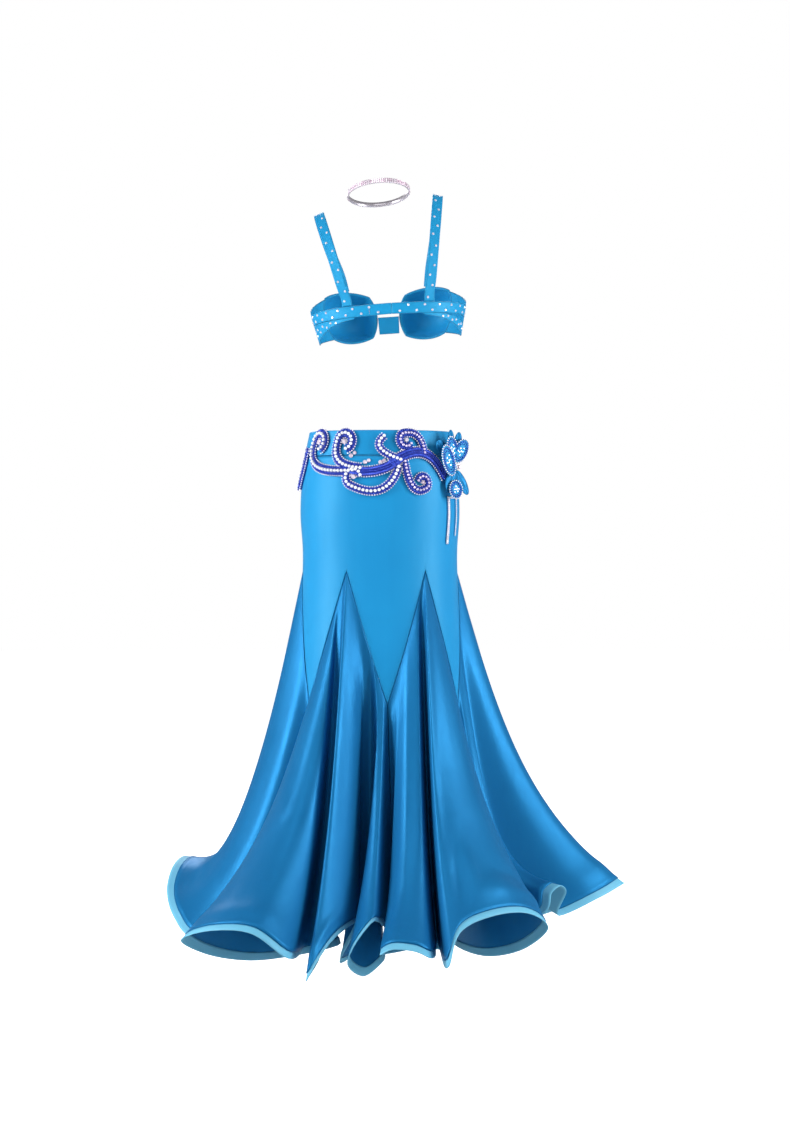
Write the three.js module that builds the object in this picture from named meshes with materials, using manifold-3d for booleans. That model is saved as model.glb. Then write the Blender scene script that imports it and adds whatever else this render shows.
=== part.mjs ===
// A two-piece belly dance costume in its worn form: a fitted skirt with six satin godets and a stiff
// bound hem, a padded scroll applique and a flower on its hip, a bra top with under-straps, and a
// stone choker. Millimetres, +Z up. The origin is the middle of the waistband ring. The wearer faces
// -Y, with the right side at -X. "turn" is an angle round the body in degrees, from the centre back
// towards the wearer's right.
import * as THREE from "three";
import { mergeVertices } from "three/addons/utils/BufferGeometryUtils.js";
import Module from "manifold-3d";

// ---- Cloth
const SEAM = 0.3; // space between two pieces that meet
const LYCRA = 1.2; // wall of the hip panels
const SATIN = 1.2; // wall of the godets
const BRAID = 1.2; // wall of the stiff hem braid
const BRAID_GAP = 0.5; // from the inside of the satin to the braid
const STRAP = 2; // wall of the bra's bands and straps
const CUP = 3; // wall of a cup

// ---- Skirt
const WAIST_TOP = 24;
const WAIST_SEAM = -22;
const WAISTBAND = 2;
const GODETS = 6;
const TWIST = 5; // how far the skirt is turned on the wearer
const APEX = -231; // height of the top point of each godet
const TIP = -472; // height where two godets meet below a hip tongue
const FLARE = 0.6; // share of a godet's reach that grows evenly on its way down
const FLARE_POWER = 4; // how late the rest swings out
const BRAID_UP = 8; // how far the braid reaches up inside the hem
const BRAID_DOWN = 11.5; // how far it shows below the satin
const HEM_STEP = 48; // longest facet along the hem
const HIP_STEP = 7.5; // one facet round the hip, in degrees
const HIP_LEVELS = 7; // rows of facets down a hip panel
const SIDE_TURN = 0.06; // half the space between the two hip panels, in degrees
const SEAM_TURN = 0.12; // half the space between two godets, in degrees
const SEAM_TRIM = 0.005; // what a godet's side leaves of the bend it ends at

// The hip, section by section: its height, half its width, and its reach to the back and to the front.
const HIP = {
  columns: ["height", "half", "back", "front"],
  rows: [
    [24, 130, 98, 92],
    [-22, 139, 105, 96],
    [-75, 145, 112, 99],
    [-130, 147, 115, 100],
    [-190, 143, 112, 98],
    [-231, 143, 111, 98],
    [-320, 147, 115, 104],
    [-400, 152, 122, 112],
    [-480, 157, 130, 122],
  ],
};

// The hem, a row for each bend of its folds: the turn at the hip that it hangs from, how far it stands
// to the right and to the back, and its height. Each group is one fold: its root, its sides and its nose.
const HEM = {
  columns: ["hang", "right", "back", "height"],
  rows: [
    // left back fold, open to the left
    [-55, -75, 80, -902],
    [-51, -210, 160, -917],
    [-48, -290, 215, -899],
    [-45, -338, 290, -859],
    [-42, -282, 362, -829],
    [-38, -212, 392, -829],
    [-34, -155, 376, -872],
    // centre back left fold, crisp at its left edge
    [-31, -126, 224, -889],
    [-28, -108, 226, -889],
    [-25, -124, 388, -907],
    [-21, -82, 328, -854],
    [-17, -46, 264, -835],
    [-13, -36, 200, -847],
    [-9, -68, 150, -923],
    // small fold that rolls over in the middle
    [-6, -20, 92, -902],
    [-3, 4, 266, -899],
    [-1, -30, 318, -917],
    [1, -56, 340, -890],
    [3, -12, 326, -823],
    [5, 34, 205, -887],
    // centre back right fold
    [9, 40, 300, -877],
    [13, 0, 374, -869],
    [17, 20, 394, -855],
    [22, 60, 395, -858],
    [27, 86, 382, -871],
    [31, 101, 205, -887],
    // right back fold, crisp at its left edge and open to the right
    [35, 113, 400, -881],
    [39, 136, 366, -829],
    [43, 193, 332, -808],
    [47, 254, 290, -811],
    [51, 291, 240, -845],
    [55, 250, 195, -891],
    [59, 190, 158, -910],
    [65, 134, 48, -899],
    // ear of braid at the right side
    [69, 286, 128, -839],
    [71.5, 294, 126, -805],
    [74, 311, 114, -793],
    [76.5, 322, 98, -805],
    [79, 312, 74, -849],
    // right side fold
    [84, 396, 46, -819],
    [91, 441, 0, -800],
    [98, 404, -78, -832],
    [105, 205, -62, -902],
    // right front fold
    [112, 330, -165, -869],
    [119, 330, -262, -825],
    [125, 232, -298, -847],
    [133, 132, -172, -902],
    // centre front right fold
    [142, 160, -330, -867],
    [151, 98, -402, -829],
    [160, 40, -360, -847],
    [169, 22, -206, -902],
    // centre front left fold
    [177, -18, -372, -865],
    [185, -82, -416, -827],
    [195, -148, -366, -849],
    [205, -112, -196, -902],
    // left front fold
    [215, -238, -318, -865],
    [224, -318, -272, -823],
    [234, -318, -176, -847],
    [245, -196, -102, -902],
    // flip at the left side, rolled up
    [256, -326, -114, -816],
    [264, -348, -58, -768],
    [272, -368, 0, -777],
    [280, -377, 52, -813],
    [289, -362, 106, -849],
    [297, -326, 148, -879],
  ],
};

// For each turn at the hip: how much of the hem's reach comes from the curl of its stiff rim alone, and
// how far the cloth dips before its rim turns up.
const CURL = {
  columns: ["hang", "share", "dip"],
  rows: [
    [-55, 0, 0],
    [8, 0, 0],
    [13, 0.2, 0],
    [20, 0.05, 0],
    [60, 0, 0],
    [72, 0.4, 14],
    [78, 0.3, 4],
    [84, 0.05, 0],
    [98, 0.05, 0],
    [110, 0, 0],
    [248, 0, 0],
    [260, 0.18, 26],
    [270, 0.2, 30],
    [280, 0.12, 22],
    [290, 0.07, 4],
    [305, 0, 0],
  ],
};
const CURL_POWER = 12; // how close to the hem that curl starts
const DIP_POWER = 7; // how close to the hem that dip lies

const SLOPE_STEP = [0.03, 0.01]; // points this far off, along the hem and down, give the cloth's slope

// How far down each row of a godet's facets lies, from its seam at 0 to its hem at 1. The braid's own
// row and the hem follow.
const GODET_ROWS = [0, 0.11, 0.22, 0.34, 0.46, 0.58, 0.7, 0.82, 0.9, 0.95];

// ---- Applique on the hip
const PAD_LIFT = 0.7; // how far the padded pieces start from the panel
const PAD_HIGH = 6;
const DROP_HALF = 2.2;
const DROP_HIGH = 3.6;
const HIP_REACH = 146; // radius that turns a distance round the hip into an angle

// Each scroll runs from its tail past its sway to its eye. There it curls: the sweep is in degrees,
// clockwise where it is above 0. A scroll with no curl ends at its eye. Places are millimetres round
// the hip and up, and "half" is half its width.
const SCROLLS = {
  columns: ["tail", "sway", "eye", "curl", "sweep", "half"],
  rows: [
    [[20, -38], [92, 14], [134, -62], 0, 0, 10.5], // stem to the right
    [[36, -31], [-14, -66], [-66, -44], 0, 0, 10], // stem to the left
    [[34, -44], [10, -112], [-48, -62], 16, 215, 8], // low left curl
    [[46, -34], [54, -104], [80, -72], 13, -200, 8], // low right curl
    [[88, -18], [86, 26], [52, 5], 14, -200, 8.5], // high right curl
    [[38, -31], [-22, -10], [8, 12], 0, 0, 7.5], // hook above the stem
    [[-36, -46], [-104, -42], [-70, 2], 17, 215, 9.5], // middle left curl
    [[-50, -50], [-178, -58], [-134, 2], 17, 215, 9.5], // far left curl
  ],
};
const SIDE_SCROLL = [[-180, -8], [-184, -48], [-216, -80], 0, 0, 9];
const CURL_IN = 0.2; // how much nearer to its eye a curl ends
const SCROLL_STEPS = 9;
const CURL_STEPS = 7;

// The flower stands on a short core that rises from the hip. Each petal is one or two ovals in its plane:
// how far to the front and up, angle, half its length, half its width. "level" is how far the petal
// starts from the plane, and "high" how far it rises above that.
const FLOWER = [62, -42]; // turn and height of its core
const FLOWER_LIFT = 12; // from the hip to the plane
const FLOWER_FACE = 34; // turn that the plane faces
const FLOWER_CUP = 4; // how far the petals have risen from the plane at FLOWER_REACH
const FLOWER_REACH = 50;
const PETALS = {
  columns: ["name", "ovals", "level", "high", "beaded"],
  rows: [
    ["left", [[-22.5, 9.6, 109, 30, 14]], 11, 4.5, true],
    ["upper", [[-10.5, 30, 109, 25, 12.5], [7.5, 27, 62, 24, 15.5]], 6.2, 4.5, true],
    ["lower", [[-4.5, -43, 262, 17.5, 15]], 6.2, 4.5, true],
    ["right", [[15.5, -30, 297, 25, 10]], 0, 2.4, false],
    ["low", [[-10.5, -27, 246, 23, 12]], 3.1, 2.4, false],
    ["top", [[5, 34, 86, 28, 10], [-9, 42, 100, 24, 8]], 0, 2.4, false],
    ["side", [[-30, 32, 135, 18, 11]], 0, 2.4, false],
  ],
};
const PETAL_RIM = 0.4; // how much of its height a petal keeps at its rim
const FLOWER_EYE = [3, -1.5, 0, 5.5, 4.6]; // oval of its core
const EYE_LEVEL = -9; // where the core starts, below the plane
const EYE_HIGH = 25;
// The stone drops under it: the turn and the lowest height of each.
const DROPS = [[57.5, -181], [69.5, -166]];
const DROP_BAR = -98; // height of the short bar that they hang from
const DROP_PAST = 3; // how far the bar runs past them

// ---- Bra top, in its own frame: its origin is the middle of the body at the height of the back band.
const BRA_PLACE = [16, 0, 244];
const BRA_ROLL = 3.8; // the wearer's right side is raised
const TORSO = {
  columns: ["height", "half", "back", "front"],
  rows: [
    [-62, 127, 84, 94],
    [-30, 134, 88, 98],
    [0, 141, 92, 102],
    [40, 146, 92, 104],
    [70, 148, 90, 102],
  ],
};
const CLOSURE = 2; // turn of the edge where the two halves of the back band meet
const CLOSURE_GAP = 0.3; // space between them, in degrees
const UNDER_TURN = 27; // turn where the under-straps leave the band
const WING_TURN = 92; // turn where the bands are sewn to the side wings
const BAND = {
  columns: ["turn", "top", "bottom"],
  rows: [[0, 10, -10], [45, 8.5, -11.5], [WING_TURN, 3.5, -16]],
};
// The right under-strap leaves the band, and the left one lies along it.
const UNDER_OPEN = {
  columns: ["turn", "top", "bottom"],
  rows: [
    [UNDER_TURN, -10.9, -12.5],
    [45, -12.2, -20],
    [60, -17, -30],
    [75, -24, -41],
    [WING_TURN, -32, -50],
  ],
};
const UNDER_SHUT = {
  columns: ["turn", "top", "bottom"],
  rows: [
    [UNDER_TURN, -10.9, -12.5],
    [45, -12, -20],
    [60, -13.1, -31],
    [75, -14.7, -42],
    [WING_TURN, -16.6, -51],
  ],
};
const TAB = [-15, 9]; // turns of the hook tab behind the closure
const TAB_HALF = 9;
const TAB_BEHIND = 0.9; // from the inside of the band to the tab
const STRAP_HALF = 9.5;
const STRAP_FACE = 0.42; // how far a strap's outer side turns with the body
const SHOULDER_ROLL = 10; // the right strap's top is this much higher, and the left one's lower
const SHOULDER_LEAN = 6; // both tops are this much further to the left
// A shoulder strap from the back band over the shoulder to the cup: how far to the side, to the back
// and up, and its share of the roll and of the lean.
const STRAP_ROUTE = {
  columns: ["side", "back", "up", "roll"],
  rows: [
    [75, 79, 10, 0],
    [76, 80.5, 22, 0.05],
    [82.3, 84, 50, 0.2],
    [92.5, 80, 104, 0.5],
    [103, 56, 160, 0.8],
    [110.5, 18, 198.5, 1],
    [109, -30, 186, 0.9],
    [98, -76, 132, 0.45],
    [85, -92, 84, 0.1],
    [79.5, -88.8, 53.2, 0],
  ],
};
const STRAP_STEPS = 16;
const CUP_TURN = 147.4;
const CUP_SPAN = 24.5;
const CUP_MIDDLE = 3;
const CUP_TALL = 49;
const CUP_DEEP = 42;
const CUP_SQUARE = 0.36; // 0 gives the cup a square outline and 0.5 a round one
const CUP_SWELL = 0.8; // below 1 the swell is fuller
const CUP_RIM = 6; // how close to its edge the swell ends
const WING_TOP = 12;
const WING_BOTTOM = -50;
const WING_SIDE = [0.74, -0.84]; // shares of the cup's height where the wing's top and bottom meet it
const WING_GAP = [0.25, 0.3]; // space to the bands and to the cup, in degrees
const GORE = [172.02, 187.98]; // turns of the piece between the cups
const GORE_HIGH = [2, -30];

// ---- Choker
const CHOKER_PLACE = [-3, 5, 466];
const CHOKER_REACH = 55;
const CHOKER_HIGH = 9;
const CHOKER_WALL = 3.5;
const CHOKER_NOD = 15; // its front is lower than its back
const CHOKER_ROLL = 5;
const CHOKER_SIDES = 36;

const COLOURS = {
  lycra: ["#2fa4e6", 0.45],
  satin: ["#2a86cc", 0.3],
  braid: ["#86cdea", 0.5],
  beads: ["#3f57c4", 0.25],
  stones: ["#dfe3ef", 0.15],
};

// ---- Small tools
const rad = THREE.MathUtils.degToRad;
const place = (right, back, up) => new THREE.Vector3(-right, back, up);

function rowsOf(table) {
  return table.rows.map((row) => Object.fromEntries(row.map((value, i) => [table.columns[i], value])));
}

// A value of a table at x, along a smooth line through its rows, which run in the order of their key.
function smooth(rows, key, x, name) {
  const up = rows[0][key] < rows[1][key] ? 1 : -1;
  let i = 0;
  while (i < rows.length - 2 && up * x > up * rows[i + 1][key]) i += 1;
  const slope = (a, b) => (rows[b][name] - rows[a][name]) / (rows[b][key] - rows[a][key]);
  const width = rows[i + 1][key] - rows[i][key];
  const first = slope(Math.max(i - 1, 0), i + 1);
  const last = slope(i, Math.min(i + 2, rows.length - 1));
  const t = (x - rows[i][key]) / width;
  if (t < 0 || t > 1) return rows[i + (t > 1)][name] + (x - rows[i + (t > 1)][key]) * slope(i, i + 1);
  const ease = t * t * (3 - 2 * t);
  const bend = width * (first * t * (1 - t) ** 2 - last * t * t * (1 - t));
  return rows[i][name] + (rows[i + 1][name] - rows[i][name]) * ease + bend;
}

// A point of a body of elliptic sections, moved out by "out".
function onBody(rows, turn, height, out = 0) {
  const at = (t, h) => {
    const reach = smooth(rows, "height", h, Math.cos(rad(t)) >= 0 ? "back" : "front");
    return place(smooth(rows, "height", h, "half") * Math.sin(rad(t)), reach * Math.cos(rad(t)), h);
  };
  const point = at(turn, height);
  const round = at(turn + 1, height).sub(at(turn - 1, height));
  const down = at(turn, height - 2).sub(at(turn, height + 2));
  return point.addScaledVector(round.cross(down).normalize(), -out);
}

const HIP_ROWS = rowsOf(HIP);
const TORSO_ROWS = rowsOf(TORSO);
const onHip = (turn, height, out) => onBody(HIP_ROWS, turn, height, out);
const onTorso = (turn, height, out) => onBody(TORSO_ROWS, turn, height, out);

function closedGeometry(points, faces) {
  let volume = 0;
  for (const [a, b, c] of faces) volume += points[a].dot(points[b].clone().cross(points[c]));
  const index = faces.flatMap(([a, b, c]) => (volume < 0 ? [a, c, b] : [a, b, c]));
  const geometry = new THREE.BufferGeometry().setFromPoints(points);
  geometry.setIndex(index);
  return geometry;
}

// A wall of cloth over a grid: at(i, j, side) is its point in column i and row j, on side 0 or 1.
function wall(columns, rows, at, round = false) {
  const points = [];
  const wide = round ? columns : columns + 1;
  for (const side of [0, 1]) {
    for (let j = 0; j <= rows; j += 1) {
      for (let i = 0; i < wide; i += 1) points.push(at(i, j, side));
    }
  }
  const id = (i, j, side) => side * wide * (rows + 1) + j * wide + (i % wide);
  const faces = [];
  const quad = (a, b, c, d) => faces.push([a, b, c], [a, c, d]);
  for (let i = 0; i < columns; i += 1) {
    for (let j = 0; j < rows; j += 1) {
      quad(id(i, j, 0), id(i + 1, j, 0), id(i + 1, j + 1, 0), id(i, j + 1, 0));
      quad(id(i, j, 1), id(i, j + 1, 1), id(i + 1, j + 1, 1), id(i + 1, j, 1));
    }
    quad(id(i, 0, 0), id(i, 0, 1), id(i + 1, 0, 1), id(i + 1, 0, 0));
    quad(id(i, rows, 0), id(i + 1, rows, 0), id(i + 1, rows, 1), id(i, rows, 1));
  }
  for (let j = 0; j < rows && !round; j += 1) {
    quad(id(0, j, 0), id(0, j + 1, 0), id(0, j + 1, 1), id(0, j, 1));
    quad(id(columns, j, 0), id(columns, j, 1), id(columns, j + 1, 1), id(columns, j + 1, 0));
  }
  return closedGeometry(points, faces);
}

// A bar along a line: section(k) gives the corners of its section at step k.
function bar(steps, section) {
  const sections = Array.from({ length: steps + 1 }, (_, k) => section(k));
  const sides = sections[0].length;
  const faces = [];
  for (let k = 0; k < steps; k += 1) {
    for (let i = 0; i < sides; i += 1) {
      const a = k * sides + i;
      const b = k * sides + ((i + 1) % sides);
      faces.push([a, b, b + sides], [a, b + sides, a + sides]);
    }
  }
  for (let i = 1; i < sides - 1; i += 1) {
    faces.push([0, i + 1, i], [steps * sides, steps * sides + i, steps * sides + i + 1]);
  }
  return closedGeometry(sections.flat(), faces);
}

const root = new THREE.Group();
function add(name, geometry, colour, parent = root) {
  const [color, roughness] = COLOURS[colour];
  const mesh = new THREE.Mesh(geometry, new THREE.MeshStandardMaterial({ color, roughness, metalness: 0 }));
  mesh.name = name;
  parent.add(mesh);
  return mesh;
}

const wasm = await Module();
wasm.setup();

function joined(geometries) {
  const solids = geometries.map((geometry) => {
    const merged = mergeVertices(geometry, 1e-4);
    const vertProperties = new Float32Array(merged.attributes.position.array);
    const triVerts = new Uint32Array(merged.index.array);
    return new wasm.Manifold(new wasm.Mesh({ numProp: 3, vertProperties, triVerts }));
  });
  const mesh = solids.reduce((sum, solid) => sum.add(solid)).getMesh();
  const geometry = new THREE.BufferGeometry();
  geometry.setAttribute("position", new THREE.BufferAttribute(new Float32Array(mesh.vertProperties), 3));
  geometry.setIndex(Array.from(mesh.triVerts));
  return geometry;
}

// ---- Skirt: waistband and hip panels
const GODET_TURN = 360 / GODETS;

// The height of the zigzag seam between hip and godets.
function seamHeight(turn) {
  const along = THREE.MathUtils.euclideanModulo(turn - TWIST, GODET_TURN) / GODET_TURN;
  return THREE.MathUtils.lerp(TIP, APEX, 1 - Math.abs(2 * along - 1));
}

function waistband() {
  const columns = Math.round(360 / HIP_STEP);
  const heights = [WAIST_TOP, WAIST_SEAM + SEAM / 2];
  return wall(columns, 1, (i, j, side) => onHip(TWIST + i * HIP_STEP, heights[j], -side * WAISTBAND), true);
}

function hipPanel(middle) {
  const columns = Math.round(180 / HIP_STEP);
  return wall(columns, HIP_LEVELS, (i, j, side) => {
    const turn = middle - 90 + i * HIP_STEP;
    const inside = turn + (i === 0 ? SIDE_TURN : 0) - (i === columns ? SIDE_TURN : 0);
    const height = THREE.MathUtils.lerp(WAIST_SEAM - SEAM / 2, seamHeight(turn) + 2 * SEAM, j / HIP_LEVELS);
    return onHip(inside, height, -side * LYCRA);
  });
}

add("waistband", waistband(), "lycra");
add("hip_panel_back", hipPanel(TWIST), "lycra");
add("hip_panel_front", hipPanel(TWIST + 180), "lycra");

// ---- Skirt: godets and hem braid
const HEM_ROWS = rowsOf(HEM);
const HEM_BENDS = HEM_ROWS.length;
const CURL_ROWS = rowsOf(CURL);
const hemLine = new THREE.CatmullRomCurve3(HEM_ROWS.map((r) => place(r.right, r.back, r.height)), true);

// The turn at the hip that the hem hangs from at bend s, smooth from bend to bend.
function hang(s) {
  const i = Math.floor(s);
  const at = (k) => {
    const row = HEM_ROWS[THREE.MathUtils.euclideanModulo(k, HEM_BENDS)];
    return row.hang + 360 * Math.floor(k / HEM_BENDS);
  };
  const t = s - i;
  const first = (at(i + 1) - at(i - 1)) / 2;
  const last = (at(i + 2) - at(i)) / 2;
  const bend = first * t * (1 - t) ** 2 - last * t * t * (1 - t);
  return at(i) + (at(i + 1) - at(i)) * t * t * (3 - 2 * t) + bend;
}

// How much of its dip the cloth has at v: none at the seam and at the hem, and 1 where it is lowest.
function dipAt(v) {
  const lowest = DIP_POWER / (DIP_POWER + 1);
  return (v ** DIP_POWER * (1 - v)) / (lowest ** DIP_POWER * (1 - lowest));
}

// A point of the skirt below the hip: s counts the bends of the hem, and v runs from the seam at 0 to
// the hem at 1.
function onSkirt(s, v, bounds = [-Infinity, Infinity]) {
  const turn = THREE.MathUtils.clamp(hang(s), ...bounds);
  const top = onHip(turn, seamHeight(turn) - 2 * SEAM);
  const hem = hemLine.getPoint(THREE.MathUtils.euclideanModulo(s / HEM_BENDS, 1));
  const within = THREE.MathUtils.clamp(hang(s), CURL_ROWS[0].hang, CURL_ROWS.at(-1).hang);
  const share = smooth(CURL_ROWS, "hang", within, "share");
  const down = Math.max(v, 0);
  const swing = THREE.MathUtils.lerp(down ** FLARE_POWER, down, FLARE);
  const out = THREE.MathUtils.lerp(swing, down ** CURL_POWER, share);
  const dip = smooth(CURL_ROWS, "hang", within, "dip") * dipAt(down);
  return new THREE.Vector3(
    THREE.MathUtils.lerp(top.x, hem.x, out),
    THREE.MathUtils.lerp(top.y, hem.y, out),
    THREE.MathUtils.lerp(top.z, hem.z, v) - dip,
  );
}

// The same point moved out by "out". At its seam a godet's wall stands square to the hip, as the hip
// panel's does.
function skirtWall(s, v, out, bounds) {
  const turn = THREE.MathUtils.clamp(hang(s), ...bounds);
  if (v === 0) return onHip(turn, seamHeight(turn) - 2 * SEAM, out);
  const [beside, below] = SLOPE_STEP;
  const round = onSkirt(s + beside, v).sub(onSkirt(s - beside, v));
  const down = onSkirt(s, v + below).sub(onSkirt(s, v - below));
  return onSkirt(s, v, bounds).addScaledVector(round.cross(down).normalize(), -out);
}

// The bends where a godet starts and ends, and the columns between them, no further apart than HEM_STEP.
function hemColumns(godet) {
  const starts = Array.from({ length: GODETS + 1 }, (_, k) => {
    const turn = HEM_ROWS[0].hang + k * GODET_TURN;
    return k === GODETS ? HEM_BENDS : HEM_ROWS.findIndex((row) => row.hang === turn);
  });
  const columns = [];
  for (let s = starts[godet]; s < starts[godet + 1]; s += 1) {
    const at = (k) => hemLine.getPoint(THREE.MathUtils.euclideanModulo(k / HEM_BENDS, 1));
    const parts = Math.ceil(at(s).distanceTo(at(s + 1)) / HEM_STEP);
    for (let k = 0; k < parts; k += 1) columns.push(s + k / parts);
  }
  columns.push(starts[godet + 1]);
  columns[0] += SEAM_TRIM;
  columns[columns.length - 1] -= SEAM_TRIM;
  return columns;
}

for (let godet = 0; godet < GODETS; godet += 1) {
  const first = TWIST + (godet - 1) * GODET_TURN;
  const bounds = [first + SEAM_TURN, first + GODET_TURN - SEAM_TURN];
  const columns = hemColumns(godet);
  const long = APEX - Math.min(...HEM_ROWS.map((r) => r.height));
  const braidTop = 1 - BRAID_UP / long;
  const rows = [...GODET_ROWS, braidTop, 1];
  const satin = wall(columns.length - 1, rows.length - 1, (i, j, side) =>
    skirtWall(columns[i], rows[j], -side * SATIN, bounds));
  // The braid runs on below the satin, straight from its own upper edge.
  const hem = wall(columns.length - 1, 1, (i, j, side) => {
    const inward = -SATIN - BRAID_GAP - side * BRAID;
    const [upper, lower] = [braidTop, 1].map((v) => skirtWall(columns[i], v, inward, bounds));
    return j ? lower.add(lower.clone().sub(upper).multiplyScalar(BRAID_DOWN / BRAID_UP)) : upper;
  });
  add(`godet_${godet + 1}`, satin, "satin");
  add(`hem_braid_${godet + 1}`, hem, "braid");
}

// ---- Hip applique
const onPad = ([round, up], out) => onHip(THREE.MathUtils.radToDeg(round / HIP_REACH), up, PAD_LIFT + out);

// The middle line of a scroll, as flat points round the hip and up.
function scrollLine([tail, sway, eye, curl, sweep]) {
  const [start, middle, end] = [tail, sway, eye].map((p) => new THREE.Vector2(...p));
  if (curl === 0) return new THREE.QuadraticBezierCurve(start, middle, end).getPoints(SCROLL_STEPS);
  const side = Math.sign(sweep);
  const away = end.clone().sub(middle).normalize().rotateAround(new THREE.Vector2(), (side * Math.PI) / 2);
  const entry = end.clone().addScaledVector(away, curl);
  const line = new THREE.QuadraticBezierCurve(start, middle, entry).getPoints(SCROLL_STEPS);
  for (let k = 1; k <= CURL_STEPS; k += 1) {
    const t = k / CURL_STEPS;
    const spoke = away.clone().rotateAround(new THREE.Vector2(), -rad(sweep) * t);
    line.push(end.clone().addScaledVector(spoke, curl * (1 - CURL_IN * t)));
  }
  return line;
}

function pad(line, half, high, base = 0) {
  return bar(line.length - 1, (k) => {
    const along = line[Math.min(k + 1, line.length - 1)].clone().sub(line[Math.max(k - 1, 0)]).normalize();
    const across = new THREE.Vector2(-along.y, along.x);
    const corner = (c, out) => {
      const flat = line[k].clone().addScaledVector(across, c * half);
      return onPad(flat.toArray(), base + out * high);
    };
    return [corner(-1, 0), corner(1, 0), corner(0.8, 0.66), corner(0, 1), corner(-0.8, 0.66)];
  });
}

const scroll = (row) => pad(scrollLine(row), row[5], PAD_HIGH);
add("hip_applique", joined(SCROLLS.rows.map(scroll)), "beads");
add("side_applique", scroll(SIDE_SCROLL), "beads");

// ---- Flower and stone drops
// A grid point in [-1, 1] x [-1, 1] brought onto a rounded outline.
function roundOff(u, v, square) {
  return [u * Math.sqrt(1 - square * v * v), v * Math.sqrt(1 - square * u * u)];
}

const flowerPlane = new THREE.Matrix4();
{
  const middle = onHip(...FLOWER, FLOWER_LIFT);
  const out = place(Math.sin(rad(FLOWER_FACE)), Math.cos(rad(FLOWER_FACE)), 0);
  const up = new THREE.Vector3(0, 0, 1);
  const front = up.clone().cross(out);
  flowerPlane.makeBasis(front, up, out).setPosition(middle);
}

// An oval dome over the flower's plane. Its underside follows the cup of the flower.
function dome([front, up, angle, long, wide], level, high, parts) {
  const [c, s] = [Math.cos(rad(angle)), Math.sin(rad(angle))];
  return wall(parts[0], parts[1], (i, j, side) => {
    const [a, b] = roundOff((2 * i) / parts[0] - 1, (2 * j) / parts[1] - 1, 0.5);
    const [x, y] = [front + a * long * c - b * wide * s, up + a * long * s + b * wide * c];
    const rise = FLOWER_CUP * (Math.hypot(x, y) / FLOWER_REACH) ** 2;
    const swell = THREE.MathUtils.lerp(PETAL_RIM, 1, Math.sqrt(Math.max(0, 1 - a * a - b * b)));
    const out = level + rise + (side ? 0 : high * swell);
    return new THREE.Vector3(x, y, out).applyMatrix4(flowerPlane);
  });
}

for (const petal of rowsOf(PETALS)) {
  const solid = joined(petal.ovals.map((oval) => dome(oval, petal.level, petal.high, [6, 5])));
  add(`petal_${petal.name}`, solid, petal.beaded ? "beads" : "lycra");
}
add("flower_eye", dome(FLOWER_EYE, EYE_LEVEL, EYE_HIGH, [4, 4]), "stones");

function stoneDrops() {
  const round = (turn) => rad(turn) * HIP_REACH;
  const flat = (points) => points.map((p) => new THREE.Vector2(...p));
  const ends = DROPS.map(([turn]) => round(turn));
  const steps = [0, 0.25, 0.5, 0.75, 1];
  const [first, last] = [ends[0] - DROP_PAST, ends[1] + DROP_PAST];
  const line = flat(steps.map((t) => [THREE.MathUtils.lerp(first, last, t), DROP_BAR]));
  const strands = DROPS.map(([turn, low]) =>
    flat(steps.map((t) => [round(turn), THREE.MathUtils.lerp(DROP_BAR, low, t)])));
  const fine = strands.map((points) => pad(points, DROP_HALF - 0.4, DROP_HIGH - 1, 0.5));
  return joined([pad(line, DROP_HALF, DROP_HIGH), ...fine]);
}
add("stone_drops", stoneDrops(), "stones");

// ---- Bra top
const bra = new THREE.Group();
bra.position.copy(place(...BRA_PLACE));
bra.rotation.y = rad(BRA_ROLL);
root.add(bra);

// A band of the bra between two turns, its top and bottom taken from a table. "side" is 1 on the
// wearer's right.
function band(table, side, from, to, columns, outer = STRAP) {
  const rows = rowsOf(table);
  return wall(columns, 1, (i, j, face) => {
    const turn = THREE.MathUtils.lerp(from, to, i / columns);
    const height = smooth(rows, "turn", Math.abs(turn), j ? "bottom" : "top");
    return onTorso(side * turn, height, outer - face * STRAP);
  });
}

add("back_band_left", band(BAND, -1, -CLOSURE, WING_TURN, 12), "lycra", bra);
add("back_band_right", band(BAND, 1, CLOSURE + CLOSURE_GAP, WING_TURN, 11), "lycra", bra);
add("under_strap_left", band(UNDER_SHUT, -1, UNDER_TURN, WING_TURN, 8), "lycra", bra);
add("under_strap_right", band(UNDER_OPEN, 1, UNDER_TURN, WING_TURN, 8), "lycra", bra);

const tab = { columns: BAND.columns, rows: [[0, TAB_HALF, -TAB_HALF], [20, TAB_HALF, -TAB_HALF]] };
add("hook_tab", band(tab, 1, ...TAB, 4, -TAB_BEHIND), "lycra", bra);

function cup(side) {
  const parts = 8;
  return wall(parts, parts, (i, j, face) => {
    const [a, b] = roundOff((2 * i) / parts - 1, (2 * j) / parts - 1, CUP_SQUARE);
    const rim = Math.max(Math.abs((2 * i) / parts - 1), Math.abs((2 * j) / parts - 1));
    const full = Math.max(0, 1 - (a * a + b * b) / (2 - 2 * CUP_SQUARE)) ** CUP_SWELL;
    const swell = CUP_DEEP * full * (1 - rim ** CUP_RIM);
    return onTorso(side * (CUP_TURN + CUP_SPAN * a), CUP_MIDDLE + CUP_TALL * b, swell + (face ? 0 : CUP));
  });
}

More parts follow.
